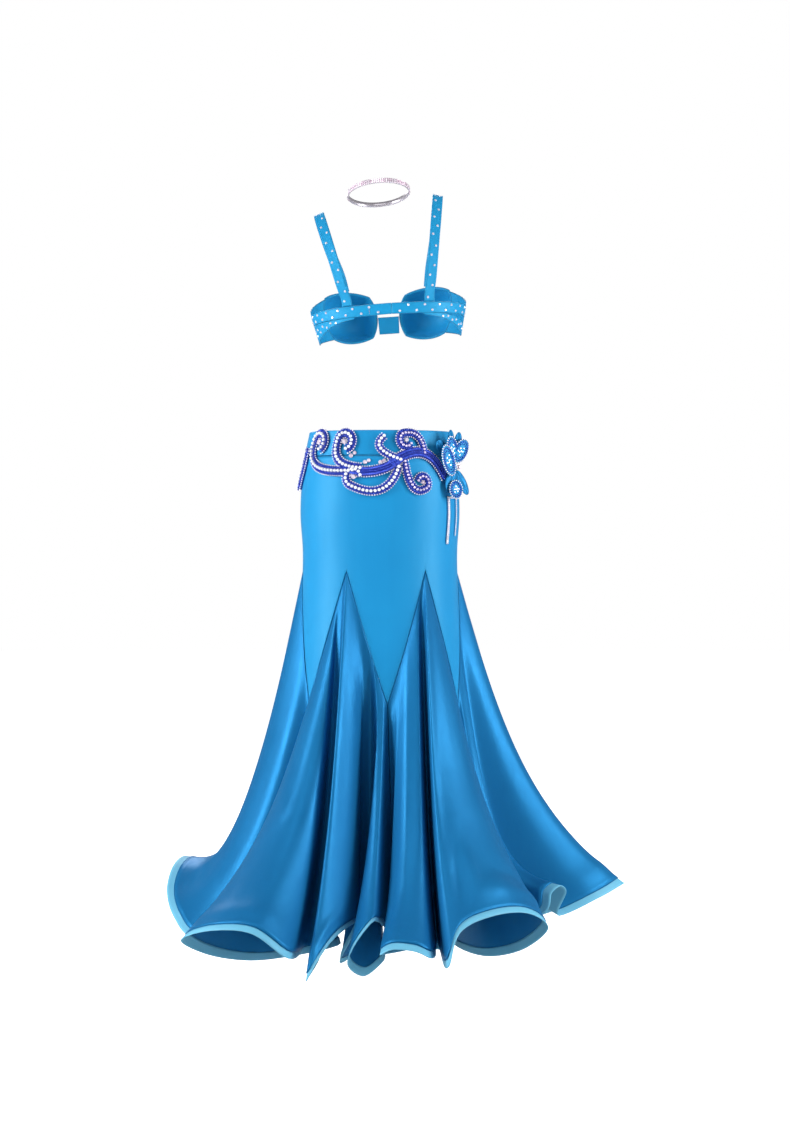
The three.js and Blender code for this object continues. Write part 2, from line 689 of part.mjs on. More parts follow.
// The wing between the bands and the cup, cut to the cup's side.
function wing(side) {
  const parts = [4, 5];
  return wall(...parts, (i, j, face) => {
    const b = THREE.MathUtils.lerp(...WING_SIDE, j / parts[1]);
    const edge = Math.sqrt(1 - CUP_SQUARE * (b / Math.sqrt(1 - CUP_SQUARE)) ** 2);
    const front = CUP_TURN - CUP_SPAN * edge - WING_GAP[1];
    const along = i / parts[0];
    const back = THREE.MathUtils.lerp(WING_TOP, WING_BOTTOM, j / parts[1]);
    const turn = THREE.MathUtils.lerp(WING_TURN + WING_GAP[0], front, along);
    const height = THREE.MathUtils.lerp(back, CUP_MIDDLE + CUP_TALL * b, along);
    return onTorso(side * turn, height, face ? 0 : STRAP);
  });
}

function shoulderStrap(side) {
  const points = rowsOf(STRAP_ROUTE).map((r) =>
    place(side * r.side - r.roll * SHOULDER_LEAN, r.back, r.up + side * r.roll * SHOULDER_ROLL));
  const line = new THREE.CatmullRomCurve3(points);
  const body = new THREE.Vector3(0, 0, 60);
  return bar(STRAP_STEPS, (k) => {
    const middle = line.getPointAt(k / STRAP_STEPS);
    const along = line.getTangentAt(k / STRAP_STEPS);
    const away = middle.clone().sub(body);
    away.x *= STRAP_FACE;
    const out = away.addScaledVector(along, -away.dot(along)).normalize();
    const across = along.clone().cross(out).normalize();
    across.multiplyScalar(STRAP_HALF);
    out.multiplyScalar(STRAP / 2);
    const corner = (c, o) => middle.clone().addScaledVector(across, c).addScaledVector(out, o);
    return [corner(-1, -1), corner(1, -1), corner(1, 1), corner(-1, 1)];
  });
}

for (const [name, side] of [["left", -1], ["right", 1]]) {
  add(`cup_${name}`, cup(side), "lycra", bra);
  add(`side_wing_${name}`, wing(side), "lycra", bra);
  add(`shoulder_strap_${name}`, shoulderStrap(side), "lycra", bra);
}

const gore = { columns: BAND.columns, rows: GORE.map((turn) => [turn, ...GORE_HIGH]) };
add("centre_gore", band(gore, 1, ...GORE, 2), "lycra", bra);

// ---- Choker
function choker() {
  return wall(CHOKER_SIDES, 1, (i, j, side) => {
    const angle = (2 * Math.PI * i) / CHOKER_SIDES;
    const reach = CHOKER_REACH + (side ? 0 : CHOKER_WALL);
    return place(reach * Math.sin(angle), reach * Math.cos(angle), CHOKER_HIGH * (0.5 - j));
  }, true);
}
const chokerMesh = add("choker", choker(), "stones");
chokerMesh.position.copy(place(...CHOKER_PLACE));
chokerMesh.rotation.set(rad(CHOKER_NOD), rad(CHOKER_ROLL), 0);

export default root;
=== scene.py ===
import math
from functools import lru_cache

import bmesh
import bpy
from mathutils import Matrix, Vector, noise


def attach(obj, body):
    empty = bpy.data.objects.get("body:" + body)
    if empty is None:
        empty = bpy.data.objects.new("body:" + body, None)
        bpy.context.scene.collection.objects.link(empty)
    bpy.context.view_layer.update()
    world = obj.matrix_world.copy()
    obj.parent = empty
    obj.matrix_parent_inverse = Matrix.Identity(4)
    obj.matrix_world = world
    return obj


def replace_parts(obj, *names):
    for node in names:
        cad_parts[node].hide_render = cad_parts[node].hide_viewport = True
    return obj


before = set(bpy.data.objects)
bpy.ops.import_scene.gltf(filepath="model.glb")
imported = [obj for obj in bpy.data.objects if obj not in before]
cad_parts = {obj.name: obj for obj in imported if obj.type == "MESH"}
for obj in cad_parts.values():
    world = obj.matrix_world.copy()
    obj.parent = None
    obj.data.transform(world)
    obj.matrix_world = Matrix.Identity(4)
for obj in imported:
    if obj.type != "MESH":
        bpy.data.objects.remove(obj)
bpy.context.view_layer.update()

# A belly dance costume in its worn form. Lengths in the tables are millimetres, in the frame of the
# solids: +Z up, the wearer faces -Y, and the wearer's right side is at -X. A "turn" is an angle round
# the body in degrees, from the centre back towards the wearer's right.
MM = 0.001
SEAM = 0.3
WAIST_TOP = 24
WAIST_SEAM = -22
GODETS = 6
GODET_TURN = 60
TWIST = 5
APEX = -231
TIP = -472
FLARE = 0.6
FLARE_POWER = 4
CURL_POWER = 12
DIP_POWER = 7
SEAM_TURN = 0.12
HEM_SEAM = 0.0015
SIDE_TURN = 0.06
LYCRA_WALL = 1.2
SATIN_WALL = 1.2
BRAID_WALL = 1.2
BRAID_GAP = 0.5
BRAID_UP = 8
BRAID_DOWN = 11.5

# Hip sections: height, half width, reach to the back, reach to the front.
HIP = (
    (24, 130, 98, 92),
    (-22, 139, 105, 96),
    (-75, 145, 112, 99),
    (-130, 147, 115, 100),
    (-190, 143, 112, 98),
    (-231, 143, 111, 98),
    (-320, 147, 115, 104),
    (-400, 152, 122, 112),
    (-480, 157, 130, 122),
)
# Bends of the hem: the turn at the hip that each hangs from, right, back, height. A line is a fold.
HEM = (
    (-55, -75, 80, -902), (-51, -210, 160, -917), (-48, -290, 215, -899), (-45, -338, 290, -859),
    (-42, -282, 362, -829), (-38, -212, 392, -829), (-34, -155, 376, -872),
    (-31, -126, 224, -889), (-28, -108, 226, -889), (-25, -124, 388, -907), (-21, -82, 328, -854),
    (-17, -46, 264, -835), (-13, -36, 200, -847), (-9, -68, 150, -923),
    (-6, -20, 92, -902), (-3, 4, 266, -899), (-1, -30, 318, -917), (1, -56, 340, -890),
    (3, -12, 326, -823), (5, 34, 205, -887),
    (9, 40, 300, -877), (13, 0, 374, -869), (17, 20, 394, -855), (22, 60, 395, -858),
    (27, 86, 382, -871), (31, 101, 205, -887),
    (35, 113, 400, -881), (39, 136, 366, -829), (43, 193, 332, -808), (47, 254, 290, -811),
    (51, 291, 240, -845), (55, 250, 195, -891), (59, 190, 158, -910), (65, 134, 48, -899),
    (69, 286, 128, -839), (71.5, 294, 126, -805), (74, 311, 114, -793), (76.5, 322, 98, -805),
    (79, 312, 74, -849),
    (84, 396, 46, -819), (91, 441, 0, -800), (98, 404, -78, -832), (105, 205, -62, -902),
    (112, 330, -165, -869), (119, 330, -262, -825), (125, 232, -298, -847), (133, 132, -172, -902),
    (142, 160, -330, -867), (151, 98, -402, -829), (160, 40, -360, -847), (169, 22, -206, -902),
    (177, -18, -372, -865), (185, -82, -416, -827), (195, -148, -366, -849),
    (205, -112, -196, -902),
    (215, -238, -318, -865), (224, -318, -272, -823), (234, -318, -176, -847),
    (245, -196, -102, -902),
    (256, -326, -114, -816), (264, -348, -58, -768), (272, -368, 0, -777), (280, -377, 52, -813),
    (289, -362, 106, -849), (297, -326, 148, -879),
)
HEM_STARTS = [k for k, row in enumerate(HEM) if (row[0] + 55) % 60 == 0] + [len(HEM)]
# By turn at the hip: the share of the hem's reach that comes from the curl of its stiff rim, and how
# far the cloth dips before its rim turns up.
CURL = (
    (-55, 0, 0),
    (8, 0, 0),
    (13, 0.2, 0),
    (20, 0.05, 0),
    (60, 0, 0),
    (72, 0.4, 14),
    (78, 0.3, 4),
    (84, 0.05, 0),
    (98, 0.05, 0),
    (110, 0, 0),
    (248, 0, 0),
    (260, 0.18, 26),
    (270, 0.2, 30),
    (280, 0.12, 22),
    (290, 0.07, 4),
    (305, 0, 0),
)


def lerp(a, b, t):
    return a + (b - a) * t


def clamp(x, low, high):
    return max(low, min(high, x))


def place(right, back, up):
    return Vector((-right, back, up))


def smooth(rows, x, column):
    """A column's value at x, on a smooth line through the rows."""
    up = 1 if rows[0][0] < rows[1][0] else -1
    i = 0
    while i < len(rows) - 2 and up * x > up * rows[i + 1][0]:
        i += 1

    def slope(a, b):
        return (rows[b][column] - rows[a][column]) / (rows[b][0] - rows[a][0])

    width = rows[i + 1][0] - rows[i][0]
    t = (x - rows[i][0]) / width
    if t < 0 or t > 1:
        end = i + (t > 1)
        return rows[end][column] + (x - rows[end][0]) * slope(i, i + 1)
    first, last = slope(max(i - 1, 0), i + 1), slope(i, min(i + 2, len(rows) - 1))
    bend = width * (first * t * (1 - t) ** 2 - last * t * t * (1 - t))
    return lerp(rows[i][column], rows[i + 1][column], t * t * (3 - 2 * t)) + bend


def on_body(rows, turn, height, out=0.0):
    """A point of a body of oval sections, moved out from its skin."""

    def at(t, h):
        angle = math.radians(t)
        reach = smooth(rows, h, 2 if math.cos(angle) >= 0 else 3)
        return place(smooth(rows, h, 1) * math.sin(angle), reach * math.cos(angle), h)

    point = at(turn, height)
    if not out:
        return point
    across = at(turn + 1, height) - at(turn - 1, height)
    down = at(turn, height - 2) - at(turn, height + 2)
    return point - across.cross(down).normalized() * out


def seam_height(turn):
    along = ((turn - TWIST) % GODET_TURN) / GODET_TURN
    return lerp(TIP, APEX, 1 - abs(2 * along - 1))


def hang(s):
    """The turn at the hip that bend s of the hem hangs from."""
    count = len(HEM)

    def at(k):
        return HEM[k % count][0] + 360 * (k // count)

    i = math.floor(s)
    t = s - i
    first, last = (at(i + 1) - at(i - 1)) / 2, (at(i + 2) - at(i)) / 2
    bend = first * t * (1 - t) ** 2 - last * t * t * (1 - t)
    return lerp(at(i), at(i + 1), t * t * (3 - 2 * t)) + bend


def spline(p0, p1, p2, p3, t):
    """A point between p1 and p2 on a centripetal curve through all four."""
    gaps = [max((b - a).length, 1e-6) ** 0.5 for a, b in ((p0, p1), (p1, p2), (p2, p3))]
    first = (p1 - p0) / gaps[0] - (p2 - p0) / (gaps[0] + gaps[1]) + (p2 - p1) / gaps[1]
    last = (p2 - p1) / gaps[1] - (p3 - p1) / (gaps[1] + gaps[2]) + (p3 - p2) / gaps[2]
    bend = gaps[1] * (first * t * (1 - t) ** 2 - last * t * t * (1 - t))
    return p1.lerp(p2, t * t * (3 - 2 * t)) + bend


@lru_cache(maxsize=None)
def hem_point(s):
    i = math.floor(s)
    points = [place(*HEM[(i + k) % len(HEM)][1:]) for k in (-1, 0, 1, 2)]
    return spline(*points, s - i)


@lru_cache(maxsize=None)
def hip_edge(s, low, high):
    turn = clamp(hang(s), low, high)
    within = clamp(hang(s), CURL[0][0], CURL[-1][0])
    edge = on_body(HIP, turn, seam_height(turn) - 2 * SEAM)
    return edge, smooth(CURL, within, 1), smooth(CURL, within, 2)


LOWEST = DIP_POWER / (DIP_POWER + 1)


def dip_at(v):
    """How much of its dip the cloth has at v, 1 where it is lowest."""
    return v**DIP_POWER * (1 - v) / (LOWEST**DIP_POWER * (1 - LOWEST))


def on_skirt(s, v, bounds):
    """A point of the flared skirt: v runs from the seam at 0 to the hem at 1."""
    top, share, dip = hip_edge(s, *bounds)
    hem = hem_point(s)
    down = max(v, 0)
    out = lerp(lerp(down**FLARE_POWER, down, FLARE), down**CURL_POWER, share)
    height = lerp(top.z, hem.z, v) - dip * dip_at(down)
    return Vector((lerp(top.x, hem.x, out), lerp(top.y, hem.y, out), height))


# ---- Finishes
def finish(name, colour, rough, **values):
    """A material with its shader, its node tree and their links."""
    material = bpy.data.materials.new(name)
    material.use_nodes = True
    tree = material.node_tree
    shader = tree.nodes["Principled BSDF"]
    shader.inputs["Base Color"].default_value = (*colour, 1)
    shader.inputs["Roughness"].default_value = rough
    for key, value in values.items():
        shader.inputs[key.replace("_", " ")].default_value = value
    return material, tree, shader


def node(tree, kind, **inputs):
    made = tree.nodes.new("ShaderNode" + kind)
    for key, value in inputs.items():
        made.inputs[key].default_value = value
    return made


def sockets(name, inputs, outputs):
    """A node group with its named sockets, and its input and output nodes."""
    group = bpy.data.node_groups.new(name, "ShaderNodeTree")
    for label, kind, value in inputs:
        socket = group.interface.new_socket(label, in_out="INPUT", socket_type=kind)
        socket.default_value = value
    for label, kind in outputs:
        group.interface.new_socket(label, in_out="OUTPUT", socket_type=kind)
    return group, group.nodes.new("NodeGroupInput"), group.nodes.new("NodeGroupOutput")


def math_node(tree, operation, a, b):
    made = tree.nodes.new("ShaderNodeMath")
    made.operation = operation
    for socket, value in zip(made.inputs, (a, b)):
        if isinstance(value, bpy.types.NodeSocket):
            tree.links.new(value, socket)
        else:
            socket.default_value = value
    return made.outputs[0]


def cloth_shade_group():
    """Slow changes of colour over cloth, and the fine streaks of its threads."""
    group, start, end = sockets(
        "cloth_shade",
        [
            ("Light", "NodeSocketColor", (1, 1, 1, 1)),
            ("Deep", "NodeSocketColor", (0, 0, 0, 1)),
            ("Patch Size", "NodeSocketFloat", 6.0),
            ("Streak Size", "NodeSocketFloat", 90.0),
        ],
        [("Color", "NodeSocketColor"), ("Streaks", "NodeSocketFloat")],
    )
    where = group.nodes.new("ShaderNodeTexCoord")
    patches = node(group, "TexNoise", Detail=3.0, Roughness=0.55)
    stretch = node(group, "Mapping", Scale=(1, 1, 0.08))
    streaks = node(group, "TexNoise", Detail=4.0, Roughness=0.6)
    blend = group.nodes.new("ShaderNodeMix")
    blend.data_type = "RGBA"
    link = group.links.new
    link(where.outputs["Object"], patches.inputs["Vector"])
    link(start.outputs["Patch Size"], patches.inputs["Scale"])
    link(where.outputs["Object"], stretch.inputs["Vector"])
    link(stretch.outputs["Vector"], streaks.inputs["Vector"])
    link(start.outputs["Streak Size"], streaks.inputs["Scale"])
    mixed = math_node(group, "MULTIPLY", patches.outputs["Fac"], 0.7)
    part = math_node(group, "MULTIPLY", streaks.outputs["Fac"], 0.3)
    link(math_node(group, "ADD", mixed, part), blend.inputs["Factor"])
    link(start.outputs["Light"], blend.inputs["A"])
    link(start.outputs["Deep"], blend.inputs["B"])
    link(blend.outputs["Result"], end.inputs["Color"])
    link(streaks.outputs["Fac"], end.inputs["Streaks"])
    return group


def weave_group():
    """The crossing threads of a weave, along a piece's own UV map in metres, as a height."""
    group, start, end = sockets(
        "weave",
        [("Thread", "NodeSocketFloat", 0.0006), ("Slant", "NodeSocketFloat", 0.0)],
        [("Height", "NodeSocketFloat")],
    )
    where = group.nodes.new("ShaderNodeTexCoord")
    parts = group.nodes.new("ShaderNodeSeparateXYZ")
    link = group.links.new
    link(where.outputs["UV"], parts.inputs["Vector"])
    slanted = math_node(group, "MULTIPLY", parts.outputs["Y"], start.outputs["Slant"])
    across = math_node(group, "ADD", parts.outputs["X"], slanted)
    turn = math_node(group, "DIVIDE", 2 * math.pi, start.outputs["Thread"])
    warp = math_node(group, "SINE", math_node(group, "MULTIPLY", across, turn), 0)
    weft = math_node(group, "SINE", math_node(group, "MULTIPLY", parts.outputs["Y"], turn), 0)
    link(math_node(group, "MULTIPLY", warp, weft), end.inputs["Height"])
    return group


def stitch_group():
    """A sewn seam along an edge: a dip at the edge and a row of stitches beside it."""
    group, start, end = sockets(
        "stitched_edge",
        [("Dip", "NodeSocketFloat", 1.3), ("Row", "NodeSocketFloat", 3.2)],
        [("Height", "NodeSocketFloat"), ("Shadow", "NodeSocketFloat")],
    )
    link = group.links.new
    edge = node(group, "Attribute")
    edge.attribute_name = "from_seam"
    away = edge.outputs["Fac"]
    rise = node(group, "MapRange")
    rise.interpolation_type = "SMOOTHSTEP"
    link(away, rise.inputs["Value"])
    link(start.outputs["Dip"], rise.inputs["From Max"])
    row = math_node(group, "SUBTRACT", away, start.outputs["Row"])
    near = math_node(group, "LESS_THAN", math_node(group, "ABSOLUTE", row, 0), 0.35)
    furrow = math_node(group, "MULTIPLY", near, 0.25)
    link(math_node(group, "SUBTRACT", rise.outputs["Result"], furrow), end.inputs["Height"])
    link(math_node(group, "SUBTRACT", 1.0, rise.outputs["Result"]), end.inputs["Shadow"])
    return group


SHADE = cloth_shade_group()
WEAVE = weave_group()
STITCH = stitch_group()


def placed(tree, group, **values):
    made = tree.nodes.new("ShaderNodeGroup")
    made.node_tree = group
    for key, value in values.items():
        made.inputs[key.replace("_", " ")].default_value = value
    return made


def bumped(tree, shader, *layers):
    """Layers of height, each with how far it stands out in metres and how strong it is."""
    normal = None
    for height, depth, strength in layers:
        bump = node(tree, "Bump", Strength=strength, Distance=depth)
        tree.links.new(height, bump.inputs["Height"])
        if normal:
            tree.links.new(normal, bump.inputs["Normal"])
        normal = bump.outputs["Normal"]
    tree.links.new(normal, shader.inputs["Normal"])


def cloth_finish(name, light, deep, rough, thread, streak, seam_shadow, **values):
    material, tree, shader = finish(name, light, rough, **values)
    shade = placed(tree, SHADE, Light=(*light, 1), Deep=(*deep, 1), Streak_Size=streak)
    weave = placed(tree, WEAVE, Thread=thread)
    stitch = placed(tree, STITCH)
    dark = tree.nodes.new("ShaderNodeMix")
    dark.data_type = "RGBA"
    dark.inputs["B"].default_value = (*(c * 0.45 for c in deep), 1)
    tree.links.new(shade.outputs["Color"], dark.inputs["A"])
    shadow = math_node(tree, "MULTIPLY", stitch.outputs["Shadow"], seam_shadow)
    tree.links.new(shadow, dark.inputs["Factor"])
    tree.links.new(dark.outputs["Result"], shader.inputs["Base Color"])
    gloss = node(tree, "MapRange")
    gloss.inputs["To Min"].default_value = rough - 0.06
    gloss.inputs["To Max"].default_value = rough + 0.06
    tree.links.new(shade.outputs["Streaks"], gloss.inputs["Value"])
    tree.links.new(gloss.outputs["Result"], shader.inputs["Roughness"])
    bumped(
        tree,
        shader,
        (shade.outputs["Streaks"], 0.0006, 0.25),
        (weave.outputs["Height"], 0.00006, 0.35),
        (stitch.outputs["Height"], 0.0012, 0.8),
    )
    return material


LYCRA = cloth_finish(
    "lycra", (0.015, 0.30, 0.62), (0.008, 0.215, 0.50), 0.40, 0.0007, 60.0, 0.12,
    Sheen_Weight=0.03, Specular_IOR_Level=0.4, Specular_Tint=(0.3, 0.8, 1, 1),
)
SATIN = cloth_finish(
    "satin", (0.012, 0.175, 0.41), (0.007, 0.12, 0.32), 0.36, 0.0005, 140.0, 0.12,
    Metallic=0.22, Specular_IOR_Level=0.4, Specular_Tint=(0.12, 0.68, 1, 1), Anisotropic=0.4,
)
BRAID = cloth_finish(
    "hem braid", (0.16, 0.50, 0.70), (0.11, 0.42, 0.63), 0.55, 0.0016, 60.0, 0.3,
    Sheen_Weight=0.05, Specular_IOR_Level=0.35,
)
GROUND = cloth_finish(
    "royal ground", (0.012, 0.035, 0.36), (0.006, 0.02, 0.26), 0.5, 0.0007, 80.0, 0.0,
    Specular_IOR_Level=0.35,
)
BAND_CLOTH = cloth_finish(
    "band lycra", (0.015, 0.33, 0.64), (0.009, 0.235, 0.51), 0.4, 0.0007, 80.0, 0.3,
    Sheen_Weight=0.03, Specular_IOR_Level=0.4, Specular_Tint=(0.3, 0.8, 1, 1),
)


def bead_finish(name, light, deep, rough, metal, size, **values):
    """Glossy beads whose colour changes from one to the next."""
    material, tree, shader = finish(name, light, rough, Metallic=metal, **values)
    where = tree.nodes.new("ShaderNodeTexCoord")
    cells = node(tree, "TexVoronoi", Scale=size)
    ramp = tree.nodes.new("ShaderNodeMix")
    ramp.data_type = "RGBA"
    ramp.inputs["A"].default_value = (*light, 1)
    ramp.inputs["B"].default_value = (*deep, 1)
    parts = tree.nodes.new("ShaderNodeSeparateColor")
    tree.links.new(where.outputs["Object"], cells.inputs["Vector"])
    tree.links.new(cells.outputs["Color"], parts.inputs["Color"])
    tree.links.new(parts.outputs["Red"], ramp.inputs["Factor"])
    tree.links.new(ramp.outputs["Result"], shader.inputs["Base Color"])
    return material


BLUE_BEADS = bead_finish("royal blue beads", (0.02, 0.035, 0.42), (0.05, 0.12, 0.75), 0.14, 0.35, 420)
SILVER_BEADS = bead_finish("silver lined beads", (0.94, 0.94, 0.98), (0.80, 0.76, 0.90), 0.16, 0.15, 420)
WHITE_BEADS = bead_finish("pearl white beads", (0.95, 0.96, 1.0), (0.82, 0.85, 0.93), 0.2, 0.05, 300)
LILAC_BEADS = bead_finish("lilac beads", (0.72, 0.60, 0.92), (0.80, 0.74, 0.95), 0.16, 0.4, 300)
STONE = bead_finish("cut stones", (0.95, 0.95, 0.99), (0.74, 0.70, 0.84), 0.08, 0.35, 260)
PINK_STONE = bead_finish("pinkish stones", (0.76, 0.58, 0.70), (0.90, 0.86, 0.93), 0.08, 0.3, 200)
SETTING = bead_finish("stone settings", (0.62, 0.58, 0.63), (0.5, 0.47, 0.53), 0.3, 0.6, 200)


# ---- Making
def settle(obj, material, nodes, replaced=True):
    """Gives a piece its finish, its body and the solids it stands for."""
    for one in material if isinstance(material, (list, tuple)) else [material]:
        obj.data.materials.append(one)
    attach(obj, "root")
    if replaced:
        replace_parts(obj, *nodes)
    return obj


def object_of(bm, name):
    mesh = bpy.data.meshes.new(name)
    bm.to_mesh(mesh)
    bm.free()
    mesh.polygons.foreach_set("use_smooth", [True] * len(mesh.polygons))
    obj = bpy.data.objects.new(name, mesh)
    bpy.context.collection.objects.link(obj)
    return obj


def sheet_piece(name, columns, rows, at, size, wall, ring=False, seam=None, centre=None):
    """A sheet of cloth on a grid: at(u, v) is its outer side, and the wall goes inwards."""
    bm = bmesh.new()
    bmesh.ops.create_grid(bm, x_segments=columns, y_segments=rows, size=0.5)
    uv = bm.loops.layers.uv.new("cloth")
    away = bm.verts.layers.float.new("from_seam")
    for face in bm.faces:
        for loop in face.loops:
            u, v = loop.vert.co.x + 0.5, 0.5 - loop.vert.co.y
            loop[uv].uv = (u * size[0], v * size[1])
    for vert in bm.verts:
        u, v = vert.co.x + 0.5, 0.5 - vert.co.y
        vert[away] = seam(u, v) if seam else 100.0
        vert.co = at(u, v) * MM
    if ring:
        bmesh.ops.remove_doubles(bm, verts=bm.verts, dist=0.00001)
    bm.normal_update()
    middle = (centre or Vector((0, 0, 0))) * MM
    outward = sum(f.normal.dot((f.calc_center_median() - middle) * Vector((1, 1, 0))) for f in bm.faces)
    if outward < 0:
        bmesh.ops.reverse_faces(bm, faces=bm.faces)
    obj = object_of(bm, name)
    if wall:
        thick = obj.modifiers.new("wall", "SOLIDIFY")
        thick.thickness = wall * MM
        thick.offset = -1
    return obj


# ---- Skirt
def waistband():
    def at(u, v):
        height = lerp(WAIST_TOP, WAIST_SEAM + SEAM / 2, v)
        roll = 0.9 * max(0, 1 - v / 0.05) ** 2
        return on_body(HIP, 360 * u, height, -roll - 0.01)

    piece = sheet_piece(
        "waistband_cloth", 144, 24, at, (0.76, 0.046), 2,
        ring=True, seam=lambda u, v: min((1 - v) * 46, 40),
    )
    settle(piece, LYCRA, ["waistband"])


def hip_panel(name, middle, node_name):
    def at(u, v):
        turn = middle - 90 + 180 * u
        inside = clamp(turn, middle - 90 + SIDE_TURN, middle + 90 - SIDE_TURN)
        height = lerp(WAIST_SEAM - SEAM / 2, seam_height(turn) + 2 * SEAM, v)
        return on_body(HIP, inside, height, -0.01)

    def from_seam(u, v):
        turn = middle - 90 + 180 * u
        bottom, top = seam_height(turn) + 2 * SEAM, WAIST_SEAM
        height = lerp(top, bottom, v)
        return min(top - height, (height - bottom) * 0.31, 390 * min(u, 1 - u))

    piece = sheet_piece(name, 192, 56, at, (0.42, 0.45), LYCRA_WALL, seam=from_seam)
    settle(piece, LYCRA, [node_name])


# The flat cut of each godet: its hem, its length and its area, in metres.
GODET_CUTS = (
    (1.90, 0.70, 0.405),
    (1.25, 0.73, 0.302),
    (1.21, 0.64, 0.280),
    (0.96, 0.68, 0.254),
    (0.82, 0.71, 0.228),
    (0.79, 0.64, 0.178),
)
GODET_COLUMNS = (128, 104, 90, 72, 66, 72)
# Puckers above the stiff hem: bend of the hem, share of the length, reach along both, and height.
PUCKERS = (
    (4.2, 0.955, 1.3, 0.022, 5),
    (9.6, 0.955, 0.9, 0.022, 6),
    (21.4, 0.96, 1.2, 0.02, 4),
    (27.25, 0.9, 0.22, 0.07, -7),
    (27.7, 0.88, 0.2, 0.06, 6),
    (28.3, 0.935, 0.5, 0.03, 7),
    (29.1, 0.9, 0.5, 0.03, -6),
    (29.6, 0.94, 0.6, 0.022, 6),
    (39.4, 0.955, 1.0, 0.022, 5),
    (48.0, 0.955, 1.2, 0.022, 4),
    (53.0, 0.955, 1.2, 0.022, 4),
)


def pucker(s, v):
    """How far the cloth stands out where its stiff hem pushes it up."""
    return sum(
        high * math.exp(-(((s - bend) / wide) ** 2) - ((v - down) / deep) ** 2)
        for bend, down, wide, deep, high in PUCKERS
        if abs(s - bend) < 3 * wide and abs(v - down) < 3 * deep
    )


def godet(k):
    first = TWIST + (k - 1) * GODET_TURN
    bounds = (first + SEAM_TURN, first + GODET_TURN - SEAM_TURN)
    start, stop = HEM_STARTS[k] + HEM_SEAM, HEM_STARTS[k + 1] - HEM_SEAM
    lowest = min(row[3] for row in HEM)
    braid_top = 1 - BRAID_UP / (APEX - lowest)
    width, length, area = GODET_CUTS[k]

    def satin(u, v):
        s = lerp(start, stop, u)
        point = on_skirt(s, v, bounds)
        high = pucker(s, v) if 0 < u < 1 and v < 0.985 else 0
        return point + Vector((point.x, point.y, 0)).normalized() * high

    def from_seam(u, v):
        s = lerp(start, stop, u)
        point = satin(u, v)
        side = min(
            (point - satin(0, v)).length if u < 0.5 else 1e3,
            (point - satin(1, v)).length if u >= 0.5 else 1e3,
        )
        turn = clamp(hang(s), *bounds)
        return min(side, (seam_height(turn) - point.z) * 0.31 + 0.05, (1 - v) * 600)

    columns = GODET_COLUMNS[k]
    cloth = sheet_piece(
        f"godet_{k + 1}_satin", columns, 90, satin, (width, length), SATIN_WALL, seam=from_seam
    )
    settle(cloth, SATIN, [f"godet_{k + 1}"])

    def normal(u, v):
        s = lerp(start, stop, u)
        across = on_skirt(s + 0.03, v, (-math.inf, math.inf)) - on_skirt(s - 0.03, v, (-math.inf, math.inf))
        down = on_skirt(s, v + 0.01, (-math.inf, math.inf)) - on_skirt(s, v - 0.01, (-math.inf, math.inf))
        return -across.cross(down).normalized()

    def hem(u, v):
        inside = SATIN_WALL + BRAID_GAP
        upper = satin(u, braid_top) - normal(u, braid_top) * inside
        lower = satin(u, 1) - normal(u, 1) * inside
        full = lower + (lower - upper) * BRAID_DOWN / BRAID_UP
        return upper.lerp(full, v)

    tall = (BRAID_UP + BRAID_DOWN) * MM
    braid = sheet_piece(f"godet_{k + 1}_braid", columns, 5, hem, (width, tall), BRAID_WALL)
    settle(braid, BRAID, [f"hem_braid_{k + 1}"])
    return cloth, braid


waistband()
hip_panel("hip_panel_back_cloth", TWIST, "hip_panel_back")
hip_panel("hip_panel_front_cloth", TWIST + 180, "hip_panel_front")
for number in range(GODETS):
    godet(number)


# ---- Beads and stones
def template(kind):
    """A bead or a stone of unit width, standing on the ground plane."""
    bm = bmesh.new()
    if kind == "bead":
        bmesh.ops.create_uvsphere(bm, u_segments=7, v_segments=5, radius=0.5)
        bmesh.ops.translate(bm, verts=bm.verts, vec=(0, 0, 0.25))
    elif kind == "bugle":
        bmesh.ops.create_cone(
            bm, cap_ends=True, segments=6, radius1=0.24, radius2=0.24, depth=1,
            matrix=Matrix.Rotation(math.pi / 2, 4, "Y"),
        )
        bmesh.ops.translate(bm, verts=bm.verts, vec=(0, 0, 0.1))
    elif kind == "stone":
        bmesh.ops.create_cone(bm, cap_ends=True, segments=8, radius1=0.5, radius2=0.5, depth=0.14)
        top = max(bm.faces, key=lambda f: f.calc_center_median().z)
        bmesh.ops.inset_region(bm, faces=[top], thickness=0.2)
        bmesh.ops.translate(bm, verts=top.verts, vec=(0, 0, 0.2))
        bmesh.ops.translate(bm, verts=bm.verts, vec=(0, 0, 0.07))
    elif kind == "baguette":
        bmesh.ops.create_cube(bm, size=1)
        top = max(bm.faces, key=lambda f: f.calc_center_median().z)
        bmesh.ops.inset_region(bm, faces=[top], thickness=0.2)
        bmesh.ops.translate(bm, verts=top.verts, vec=(0, 0, 0.3))
    mesh = bpy.data.meshes.new("template_" + kind)
    bm.to_mesh(mesh)
    bm.free()
    return mesh


def standing(point, out, along):
    """Turns +Z to out and +X along, at a point in millimetres."""
    z = out.normalized()
    y = z.cross(along).normalized()
    x = y.cross(z)
    turn = Matrix((x, y, z)).transposed().to_4x4()
    return Matrix.Translation(point * MM) @ turn


